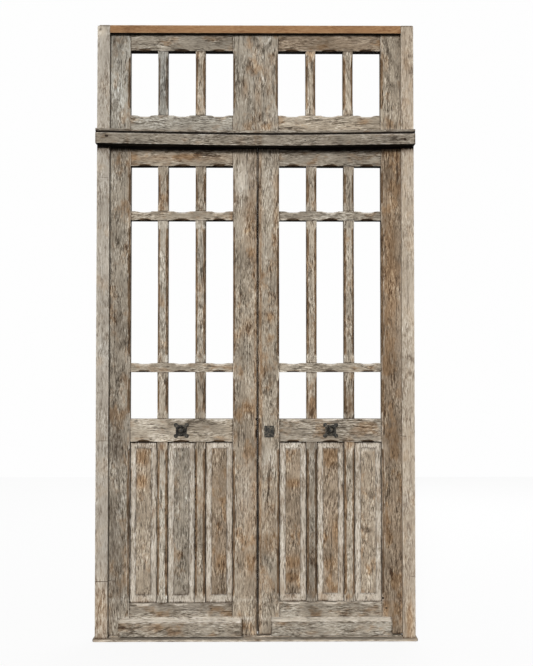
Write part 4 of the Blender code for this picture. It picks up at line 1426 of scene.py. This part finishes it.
@dataclass
class TransomLight:
    """Fixed light over the leaves: three stiles, four rails and four mullions."""

    finishes: "Finishes"

    def build(self) -> list[Piece]:
        """Make every board of the fixed light."""
        _, depth, _ = reach_of("transom_stile_centre")
        clear_height = (reach_of("transom_bottom_rail_left")[2][1],
                        reach_of("transom_top_rail_left")[2][0])
        runs = runs_along([clear_height], UPRIGHT_CHAMFER)
        boards = []
        for name, has_low, has_high in (("left", False, True), ("centre", True, True),
                                        ("right", True, False)):
            boards.append(self.upright("transom_stile_" + name, depth, runs, has_low, has_high))
        for number in range(1, 5):
            boards.append(self.upright(f"transom_mullion_{number}", depth, runs, True, True))
        for side, mullions in (("left", (1, 2)), ("right", (3, 4))):
            uprights = [f"transom_mullion_{number}" for number in mullions]
            uprights += ["transom_stile_" + side, "transom_stile_centre"]
            clear = gaps_between([reach_of(node)[0] for node in uprights])
            for place in ("top", "bottom"):
                name = f"transom_{place}_rail_{side}"
                span, _, sides = reach_of(name)
                key = "low_runs" if place == "top" else "high_runs"
                board = Timber(name, "frame", depth, OLD_OAK, Grain.LEVEL, 1.0,
                               span=bitten(span), sides=sides, scoop=RAIL_SCOOP, bedded=True,
                               **{key: runs_along(clear, RAIL_CHAMFER)})
                boards.append(board)
        return [board.build(self.finishes.old_oak) for board in boards]

    def upright(self, name: str, depth: Span, runs: tuple[Run, ...], has_low: bool,
                has_high: bool) -> Timber:
        """A stile or mullion, chamfered on the sides that face a light."""
        sides, _, span = reach_of(name)
        return Timber(name, "frame", depth, OLD_OAK, Grain.UPRIGHT, 1.0, span=bitten(span), sides=sides,
                      bedded=True, low_runs=runs if has_low else (), high_runs=runs if has_high else ())


@dataclass
class Leaf:
    """One door leaf; direction is -1 for the left leaf and 1 for the right one."""

    finishes: "Finishes"
    side: str
    direction: int
    hinge_edge: float
    board_front_height: float = 0.071
    board_height: float = 0.081
    fillet_depth: Span = (0.0022, 0.0004)
    fillet_slit: float = 0.00008
    fillet_bite: float = 0.002

    @property
    def body(self) -> str:
        """The body that the leaf's pieces ride on."""
        return self.side + "_leaf"

    def reach(self, part: str) -> tuple[Span, Span, Span]:
        """Extent of one of the leaf's solids."""
        return reach_of(f"{self.side}_{part}")

    def timber(self, part: str, grain: Grain, **form: object) -> Timber:
        """A board with the extent of its solid, unless form says otherwise."""
        x, _, z = self.reach(part)
        span, sides = (z, x) if grain is Grain.UPRIGHT else (x, z)
        bedded = "stile" not in part
        if bedded:
            span = bitten(span)
        form = {"span": span, "sides": sides, "bedded": bedded, **form}
        return Timber(f"{self.side}_{part}", self.body, self.depth, OLD_OAK, grain, 1.0, **form)

    def build(self) -> list[Piece]:
        """Make every board and panel of the leaf."""
        _, self.depth, _ = self.reach("meeting_stile")
        levels = [self.reach(part)[2] for part in ("bottom_rail", "lock_rail", "lower_glazing_bar",
                                                   "upper_glazing_bar", "top_rail")]
        heights = gaps_between(levels)
        panel_height, *light_heights = heights
        stile_inner = {"hinge": self.stile_inner("hinge_stile"),
                       "meeting": self.stile_inner("meeting_stile")}
        zone = sorted(stile_inner.values())
        uprights = [self.reach(f"muntin_{number}")[0] for number in (1, 2)]
        widths = gaps_between([(zone[0], zone[0]), *uprights, (zone[1], zone[1])])
        boards: list[Oak] = [*self.stiles(heights, stile_inner), *self.rails(widths)]
        for row, height in zip(("lower", "middle", "upper"), light_heights):
            runs = runs_along([height], UPRIGHT_CHAMFER)
            boards += [self.timber(f"mullion_{row}_{number}", Grain.UPRIGHT, low_runs=runs,
                                   high_runs=runs) for number in (1, 2)]
        runs = runs_along([panel_height], UPRIGHT_CHAMFER)
        boards += [self.timber(f"muntin_{number}", Grain.UPRIGHT, low_runs=runs, high_runs=runs)
                   for number in (1, 2)]
        for number, width in enumerate(widths, start=1):
            boards.append(Panel(f"{self.side}_panel_{number}", self.body, self.depth,
                                width=width, height=panel_height))
        boards.append(self.weatherboard())
        if self.direction > 0:
            boards.append(self.fillet())
        return [board.build(self.finishes.old_oak) for board in boards]

    def fillet(self) -> Timber:
        """Slip of wood at the back of the meeting edge that closes the gap between the leaves."""
        (edge, _), (_, back), span = self.reach("meeting_stile")
        other = reach_of("left_meeting_stile")[0][1]
        depth = tuple(back - distance for distance in self.fillet_depth)
        return Timber("meeting_fillet", self.body, depth, OLD_OAK, Grain.UPRIGHT, 0.0, False,
                      span=span, sides=(other + self.fillet_slit, edge + self.fillet_bite))

    def stile_inner(self, part: str) -> float:
        """Edge of a stile that faces the lights."""
        x = self.reach(part)[0]
        towards_low = (part == "hinge_stile") == (self.direction > 0)
        return x[0] if towards_low else x[1]

    def stiles(self, heights: list[Span], inner: dict[str, float]) -> list[Timber]:
        """Hinge stile and meeting stile; the meeting stile has a tongue behind its edge."""
        runs = runs_along(heights, UPRIGHT_CHAMFER)
        stepped = self.direction > 0
        meeting_x = self.reach("meeting_stile")[0]
        tongue = MEETING_STEP[0]
        if stepped:
            meeting_sides = (meeting_x[0] + tongue, meeting_x[1])
            meeting = {"high_runs": runs, "step_low": MEETING_STEP}
            hinge = {"low_runs": runs}
        else:
            meeting_sides = (meeting_x[0], meeting_x[1] - tongue)
            meeting = {"low_runs": runs, "step_high": MEETING_STEP}
            hinge = {"high_runs": runs}
        hinge_sides = tuple(sorted((inner["hinge"], self.hinge_edge)))
        return [self.timber("hinge_stile", Grain.UPRIGHT, sides=hinge_sides, **hinge),
                self.timber("meeting_stile", Grain.UPRIGHT, sides=meeting_sides, **meeting)]

    def rails(self, widths: list[Span]) -> list[Timber]:
        """The five rails, chamfered where a light or a panel meets them."""
        runs = runs_along(widths, RAIL_CHAMFER)
        forms = {"bottom_rail": ((), runs), "lock_rail": (runs, runs),
                 "lower_glazing_bar": (runs, runs), "upper_glazing_bar": (runs, runs),
                 "top_rail": (runs, ())}
        return [self.timber(part, Grain.LEVEL, low_runs=low, high_runs=high,
                            scoop=0.0 if part == "lock_rail" else RAIL_SCOOP)
                for part, (low, high) in forms.items()]

    def weatherboard(self) -> Timber:
        """Drip board with a sloping top, nailed to the leaf's foot."""
        x, (front, back), (bottom, _) = self.reach("weatherboard")
        shoulder = bottom + self.board_front_height
        profile = [(bottom, back), (bottom, front), (shoulder, front),
                   (bottom + self.board_height, back)]
        return Timber(self.side + "_weatherboard", self.body, (front, back), OLD_OAK,
                      Grain.LEVEL, 1.0, span=x, profile=profile, arrises=profile[1:3])


@dataclass
class Ironwork:
    """Bosses, keyhole plate, hinges, lock edge and nails in black iron."""

    finishes: "Finishes"
    lobe_offset: float = 0.026
    lobe_radius: float = 0.010
    waist: float = 0.0268
    plate_thickness: float = 0.005
    hinge_blade: float = 0.0025
    hinge_slit: float = 0.0008
    keyhole_radius: float = 0.0062
    keyhole_slit: float = 0.0033
    keyhole_foot: float = -0.0175
    keyhole_rise: float = 0.0045
    screw_offset: Span = (0.0185, 0.0220)
    forend_heights: Span = (0.895, 1.065)
    keep_heights: Span = (0.905, 1.055)
    lock_openings: tuple[Span, ...] = ((0.940, 0.966), (0.990, 1.006))

    def dress(self, piece: Piece, name: str, body: str, node: str | None = None,
              angle: float = 35.0) -> Piece:
        """Name an iron piece, finish it and let it ride.

        Args:
            piece: The finished mesh.
            name: The piece's name.
            body: The body it rides on.
            node: The solid it stands for, if any.
            angle: Edges sharper than this, in degrees, stay sharp.

        Returns:
            The piece.
        """
        rename(piece, name)
        piece.data.materials.clear()
        piece.data.materials.append(self.finishes.black_iron)
        finish_shading(piece, angle)
        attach(piece, body)
        if node is not None:
            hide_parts(node)
        LOG.info("%s: %d faces on %s", name, len(piece.data.polygons), body)
        return piece

    def build_boss(self, side: str) -> Piece:
        """Four-lobed plate with a turned ring and knob."""
        node = side + "_boss"
        (low_x, high_x), (_, back), (low_z, high_z) = reach_of(node)
        middle = ((low_x + high_x) / 2, (low_z + high_z) / 2)
        outline: Outline = []
        for quarter in range(4):
            turn = quarter * math.pi / 2
            reach = math.sqrt(2) * self.lobe_offset
            lobe = (reach * math.cos(turn + math.pi / 4), reach * math.sin(turn + math.pi / 4))
            outline += arc(lobe, self.lobe_radius, turn - math.pi / 2, 1.5 * math.pi, 18)
            hollow = turn + math.pi / 2
            outline.append((self.waist * math.cos(hollow), self.waist * math.sin(hollow)))
        plate = extruded_outline([(middle[0] + u, back, middle[1] + v) for u, v in outline],
                                 (0.0, -self.plate_thickness, 0.0))
        face = back - self.plate_thickness
        bevel_edges(plate, 0.0011, 3, on_front(face))
        rows = ((0.0225, 0.0015), (0.0222, 0.0032), (0.0211, 0.0052), (0.0196, 0.0060),
                (0.0182, 0.0055), (0.0168, 0.0038), (0.0153, 0.0020), (0.0141, 0.0017),
                (0.0132, 0.0030), (0.0125, 0.0060), (0.0117, 0.0088), (0.0099, 0.0113),
                (0.0074, 0.0126), (0.0040, 0.0130))
        knob = turned_knob((middle[0], face, middle[1]), rows, self.plate_thickness / 2)
        apply_boolean(plate, knob, "UNION")
        dent(plate, 0.00035, 120.0)
        return self.dress(plate, side + "_boss_dressed", side + "_leaf", node)

    def build_escutcheon(self) -> list[Piece]:
        """Keyhole plate with eased, dented edges, and its four screws."""
        node = "right_escutcheon"
        (low_x, high_x), (front, back), (low_z, high_z) = reach_of(node)
        middle = ((low_x + high_x) / 2, (low_z + high_z) / 2)
        plate = block((middle[0], (front + back) / 2, middle[1]),
                      (high_x - low_x, back - front, high_z - low_z))
        bpy.ops.object.mode_set(mode="EDIT")
        bpy.ops.mesh.subdivide(number_cuts=9)
        bpy.ops.object.mode_set(mode="OBJECT")
        bevel_edges(plate, 0.0008, 2, on_front(front))
        dent(plate, 0.0005, 75.0)
        slit = self.keyhole_slit
        opening = math.asin(slit / self.keyhole_radius)
        hole = arc((0.0, 0.0), self.keyhole_radius, opening - math.pi / 2,
                   2 * math.pi - 2 * opening, 24)
        hole += [(-slit, self.keyhole_foot), (slit, self.keyhole_foot)]
        cutter = extruded_outline([(middle[0] + u, front - 0.01, middle[1] + self.keyhole_rise + v)
                                   for u, v in hole], (0.0, 0.03, 0.0))
        apply_boolean(plate, cutter)
        pieces = [self.dress(plate, "right_escutcheon_dressed", "right_leaf", node)]
        for number, (u, v) in enumerate(((-1, -1), (1, -1), (-1, 1), (1, 1)), start=1):
            spot = (middle[0] + u * self.screw_offset[0], front + 0.0012,
                    middle[1] + v * self.screw_offset[1])
            pieces.append(self.build_screw(f"escutcheon_screw_{number}", "right_leaf", spot,
                                           0.0024, 20.0 * number))
        return pieces

    def build_screw(self, name: str, body: str, spot: Point, radius: float,
                    turn: float) -> Piece:
        """Low domed screw with a slot, facing outside."""
        rows = ((radius * 0.96, 0.0004), (radius * 0.80, 0.0008), (radius * 0.5, 0.0011))
        screw = turned_knob(spot, ((radius, 0.0), *rows), 0.002, 20)
        apply_boolean(screw, block((spot[0], spot[1] - 0.0012, spot[2]),
                                   (radius * 2.2, 0.0014, radius * 0.28), turn))
        return self.dress(screw, name, body)

    def build_nails(self, heads: tuple[tuple[str, str, Point], ...]) -> list[Piece]:
        """Hammered nail heads; each is a name, a body and the middle of its head."""
        pieces = []
        for name, body, spot in heads:
            rows = ((0.0036, 0.0), (0.0035, 0.0005), (0.0028, 0.0009), (0.0015, 0.0010))
            nail = turned_knob(spot, rows, 0.004, 10)
            dent(nail, 0.0004, 300.0)
            pieces.append(self.dress(nail, name, body))
        return pieces

    def build_hinges(self, joint: dict, side: str, direction: int) -> list[Piece]:
        """Three barrel hinges: the lower half of each on the jamb, the upper half on the leaf."""
        axis_x, axis_y = joint["x"], joint["y"]
        play = EDGE_PLAY / 2
        pieces = []
        for number, middle in enumerate(joint["heights"], start=1):
            for half, body, way, low, high in (
                    ("lower", "frame", 1, middle - HINGE_LENGTH / 2, middle - self.hinge_slit / 2),
                    ("upper", side + "_leaf", -1, middle + self.hinge_slit / 2,
                     middle + HINGE_LENGTH / 2)):
                near, far = sorted((direction * way * play,
                                    direction * way * (play + self.hinge_blade)))
                start = math.atan2(-math.sqrt(HINGE_RADIUS ** 2 - far ** 2), far)
                finish = math.atan2(-math.sqrt(HINGE_RADIUS ** 2 - near ** 2), near) + 2 * math.pi
                sweep = (finish - start) % (2 * math.pi)
                outline = [(near, -HINGE_FOOT), (far, -HINGE_FOOT)]
                outline += arc((0.0, 0.0), HINGE_RADIUS, start, sweep, 24)
                ring = [(axis_x + u, axis_y + v, low) for u, v in outline]
                knuckle = extruded_outline(ring, (0.0, 0.0, high - low))
                bevel_edges(knuckle, 0.0009, 2, is_level)
                name = f"{side}_hinge_{number}_{half}"
                pieces.append(self.dress(knuckle, name, body))
        return pieces

    def build_lock_edge(self) -> list[Piece]:
        """Lock plate let into the right leaf's meeting edge, and its keep on the left leaf."""
        (tongue_x, _), (front, back), _ = reach_of("right_meeting_stile")
        (_, keep_x), _, _ = reach_of("left_meeting_stile")
        plate_y = (front + 0.016, back - 0.008)
        pieces = []
        for name, body, x, z in (("lock_forend", "right_leaf", (tongue_x, tongue_x + 0.003),
                                  self.forend_heights),
                                 ("lock_keep", "left_leaf", (keep_x - 0.003, keep_x),
                                  self.keep_heights)):
            middle = [sum(pair) / 2 for pair in (x, plate_y, z)]
            plate = block(middle, [pair[1] - pair[0] for pair in (x, plate_y, z)])
            for low, high in self.lock_openings:
                apply_boolean(plate, block((middle[0], middle[1], (low + high) / 2),
                                           (0.02, 0.011, high - low)))
            pieces.append(self.dress(plate, name, body))
        return pieces


def extrude_solid(pull: Point) -> None:
    """Extrude the active flat mesh into a closed solid that faces outwards."""
    bpy.ops.object.mode_set(mode="EDIT")
    bpy.ops.mesh.select_all(action="SELECT")
    bpy.ops.mesh.extrude_region_move(TRANSFORM_OT_translate={"value": pull})
    bpy.ops.mesh.select_all(action="SELECT")
    bpy.ops.mesh.normals_make_consistent(inside=False)
    bpy.ops.object.mode_set(mode="OBJECT")


def extruded_outline(ring: list[Point], pull: Point) -> Piece:
    """Fill a ring of points and extrude it into a closed solid."""
    deselect_all()
    bpy.ops.mesh.primitive_circle_add(vertices=len(ring), fill_type="NGON")
    piece = bpy.context.object
    set_coordinates(piece, np.array(ring, dtype=float))
    extrude_solid(pull)
    return piece


def turned_knob(base: Point, rows: tuple[tuple[float, float], ...], root: float,
                sides: int = 40) -> Piece:
    """Turn a knob that faces outside.

    Args:
        base: Middle of the knob on the face it stands on.
        rows: Rising rows of (radius, height over the face), narrowing towards the top.
        root: How far the knob goes into what carries it.
        sides: Number of sides.

    Returns:
        The knob as a closed solid.
    """
    deselect_all()
    first_radius, first_height = rows[0]
    height = root + first_height
    bpy.ops.mesh.primitive_cylinder_add(
        vertices=sides, radius=first_radius, depth=height,
        location=(base[0], base[1] + root - height / 2, base[2]),
        rotation=(math.pi / 2, 0.0, 0.0))
    knob = bpy.context.object
    bpy.ops.object.transform_apply(location=True, rotation=True, scale=True)
    bpy.ops.object.mode_set(mode="EDIT")
    bpy.ops.mesh.select_mode(type="FACE")
    mesh = bmesh.from_edit_mesh(knob.data)
    for face in mesh.faces:
        face.select = face.normal.y < -0.9
    bmesh.update_edit_mesh(knob.data)
    for (radius, rise), (next_radius, next_rise) in zip(rows, rows[1:]):
        bpy.ops.mesh.inset(thickness=radius - next_radius, depth=next_rise - rise)
    bpy.ops.mesh.select_mode(type="VERT")
    bpy.ops.object.mode_set(mode="OBJECT")
    return knob


def bevel_edges(piece: Piece, width: float, segments: int,
                wanted: EdgeTest) -> None:
    """Bevel the edges that a test picks out.

    Args:
        piece: The mesh to change.
        width: The bevel's offset.
        segments: Faces across the bevel.
        wanted: Tells of an edge whether it is bevelled.
    """
    activate(piece)
    bpy.ops.object.mode_set(mode="EDIT")
    bpy.ops.mesh.select_mode(type="EDGE")
    select_edges(piece, wanted)
    bpy.ops.mesh.bevel(offset=width, segments=segments, profile=0.5)
    bpy.ops.mesh.select_mode(type="VERT")
    bpy.ops.object.mode_set(mode="OBJECT")


def on_front(front: float) -> EdgeTest:
    """Test for the outline of the flat front face at one depth."""
    return lambda edge: (all(abs(vertex.co.y - front) < TINY for vertex in edge.verts)
                         and len(edge.link_faces) == 2 and edge.calc_face_angle() > 0.5)


def is_level(edge: bmesh.types.BMEdge) -> bool:
    """Whether an edge lies level, as the rims of an upright prism do."""
    return abs(edge.verts[0].co.z - edge.verts[1].co.z) < TINY


def block(middle: Point, sizes: Point, turn: float = 0.0) -> Piece:
    """Add a block of those sizes, turned by some degrees about Y."""
    deselect_all()
    bpy.ops.mesh.primitive_cube_add(size=1.0, location=middle, scale=sizes,
                                    rotation=(0.0, math.radians(turn), 0.0))
    made = bpy.context.object
    bpy.ops.object.transform_apply(location=True, rotation=True, scale=True)
    return made


def arc(middle: tuple[float, float], radius: float, start: float, sweep: float,
        steps: int) -> Outline:
    """Points along an arc, both its ends among them."""
    turns = [start + sweep * i / steps for i in range(steps + 1)]
    return [(middle[0] + radius * math.cos(turn), middle[1] + radius * math.sin(turn))
            for turn in turns]


def apply_boolean(piece: Piece, tool: Piece, operation: str = "DIFFERENCE") -> None:
    """Cut a solid from a piece, or join it on, and take the tool away."""
    activate(piece)
    boolean = piece.modifiers.new("cut", "BOOLEAN")
    boolean.operation = operation
    boolean.solver = "EXACT"
    boolean.object = tool
    bpy.ops.object.modifier_apply(modifier=boolean.name)
    bpy.data.objects.remove(tool, do_unlink=True)


def dent(piece: Piece, depth: float, scale: float) -> None:
    """Sink shallow hammer marks into a piece."""
    places = coordinates(piece)
    sink = depth * (0.5 + 0.5 * noise_at(places * scale))
    places -= normals(piece) * sink[:, None]
    set_coordinates(piece, places)


class Finishes:
    """Every material, built once."""

    def __init__(self) -> None:
        """Build the oak and iron materials."""
        figure = OakFigure()
        self.old_oak = OLD_OAK.material(figure)
        self.jamb_oak = JAMB_OAK.material(figure)
        self.new_oak = NEW_OAK.material(figure)
        self.black_iron = BLACK_IRON.material()


@dataclass
class Studio:
    """Plain pale floor and backdrop light, and the photograph's point of view."""

    focal_length: float = 36.0 * 925.0 / 533.0
    sensor_width: float = 36.0
    camera_place: Point = (0.0218, -4.410, 1.3375)
    camera_tilt: float = 0.02663
    camera_turn: float = -0.00699
    floor_half: float = 6.0
    background: float = 0.99
    sky_light: float = 0.56
    ground_light: float = 0.01
    key_strength: float = 2.55
    key_softness: float = 12.0
    front_fill: float = 30.0
    back_fill: float = 110.0

    def build_camera(self) -> None:
        """Camera level with the lock rails, a little over four metres away."""
        camera = bpy.data.cameras.new("camera")
        camera.lens = self.focal_length
        camera.sensor_width = self.sensor_width
        camera.sensor_fit = "HORIZONTAL"
        camera.clip_start = 0.05
        holder = bpy.data.objects.new("camera", camera)
        holder.location = self.camera_place
        holder.rotation_euler = (math.pi / 2 + self.camera_tilt, 0.0, self.camera_turn)
        bpy.context.scene.collection.objects.link(holder)
        bpy.context.scene.camera = holder

    def build_floor(self) -> None:
        """Pale floor that throws little light back up."""
        deselect_all()
        bpy.ops.mesh.primitive_plane_add(size=2 * self.floor_half)
        floor = bpy.context.object
        floor.name = "studio_floor"
        material = bpy.data.materials.new("pale_floor")
        material.use_nodes = True
        graph = Graph(material.node_tree)
        shader = material.node_tree.nodes["Principled BSDF"]
        output = material.node_tree.nodes["Material Output"]
        shader.inputs["Roughness"].default_value = 0.9
        path = graph.add("ShaderNodeLightPath", {})
        tint = graph.mix(path.outputs["Is Camera Ray"], (0.05, 0.05, 0.05, 1.0),
                         (0.80, 0.80, 0.80, 1.0))
        graph.link(tint, shader.inputs["Base Color"])
        glow = graph.add("ShaderNodeEmission", {"Color": (1.0, 1.0, 1.0, 1.0), "Strength": 1.0})
        share = graph.math("MULTIPLY", path.outputs["Is Camera Ray"], 0.88)
        blend = graph.add("ShaderNodeMixShader", {0: share, 1: shader.outputs[0],
                                                  2: glow.outputs[0]})
        graph.link(blend.outputs[0], output.inputs["Surface"])
        floor.data.materials.append(material)

    def build_lights(self) -> None:
        """Broad soft light from above the camera, weak fills, and a pale sky above."""
        sun = bpy.data.lights.new("soft_key", "SUN")
        sun.energy = self.key_strength
        sun.angle = math.radians(self.key_softness)
        self.hang(sun, (-0.9, -5.0, 1.8), (0.0, 0.0, 0.0))
        for name, place, power in (("front_fill", (0.4, -5.5, 1.9), self.front_fill),
                                   ("back_fill", (1.5, 4.5, 3.6), self.back_fill)):
            light = bpy.data.lights.new(name, "AREA")
            light.shape = "RECTANGLE"
            light.size, light.size_y = 4.0, 3.0
            light.energy = power
            self.hang(light, place, (0.0, 0.0, 1.4))
        world = bpy.data.worlds.new("studio")
        world.use_nodes = True
        bpy.context.scene.world = world
        graph = Graph(world.node_tree)
        backdrop = world.node_tree.nodes["Background"]
        direction = graph.add("ShaderNodeTexCoord", {}).outputs["Generated"]
        height = graph.add("ShaderNodeSeparateXYZ", {0: direction}).outputs[2]
        sky = graph.span(height, -0.05, 0.30, self.ground_light, self.sky_light)
        path = graph.add("ShaderNodeLightPath", {})
        seen = graph.math("MULTIPLY", path.outputs["Is Camera Ray"], self.background)
        unseen = graph.math("SUBTRACT", 1.0, path.outputs["Is Camera Ray"])
        strength = graph.math("MULTIPLY_ADD", sky, unseen, seen)
        graph.link(strength, backdrop.inputs["Strength"])
        backdrop.inputs["Color"].default_value = (1.0, 1.0, 1.0, 1.0)
        bpy.context.scene.view_settings.view_transform = "Standard"

    @staticmethod
    def hang(light: bpy.types.Light, place: Point, aim: Point) -> None:
        """Put a light in the scene and turn it towards a point."""
        holder = bpy.data.objects.new(light.name, light)
        holder.location = place
        direction = Vector(aim) - Vector(place)
        holder.rotation_euler = direction.to_track_quat("-Z", "Y").to_euler()
        bpy.context.scene.collection.objects.link(holder)

    def build(self) -> None:
        """Set the whole studio up."""
        self.build_camera()
        self.build_floor()
        self.build_lights()


def hinge_axes() -> dict[str, dict]:
    """Place of each leaf's hinge axis and the heights of its hinges."""
    axes = {}
    bottom, top = reach_of("left_hinge_stile")[2]
    for side, direction in (("left", -1), ("right", 1)):
        barrels = reach_of(side + "_hinge_stile")
        x = barrels[0][0] + HINGE_RADIUS if direction < 0 else barrels[0][1] - HINGE_RADIUS
        lowest = bottom + HINGE_END
        spacing = (top - HINGE_END - lowest) / 2
        axes[side] = {"x": x, "y": barrels[1][1] - HINGE_RADIUS,
                      "heights": [lowest + spacing * i for i in range(3)]}
    return axes


NAILS = (
    ("moulding_nail_1", "frame", (-0.240, -0.0438, 2.371)),
    ("moulding_nail_2", "frame", (0.236, -0.0438, 2.369)),
)


def main() -> None:
    """Build the door, its irons and the studio, and report each piece."""
    logging.basicConfig(level=logging.INFO, format="%(name)s: %(message)s")
    finishes = Finishes()
    axes = hinge_axes()
    studio = Studio()
    studio.build()
    OuterFrame(finishes).build()
    TransomLight(finishes).build()
    irons = Ironwork(finishes)
    for side, direction in (("left", -1), ("right", 1)):
        edge = axes[side]["x"] - direction * EDGE_PLAY / 2
        Leaf(finishes, side, direction, edge).build()
        irons.build_boss(side)
        irons.build_hinges(axes[side], side, direction)
    irons.build_escutcheon()
    irons.build_lock_edge()
    irons.build_nails(NAILS)


if __name__ == "__main__":
    main()
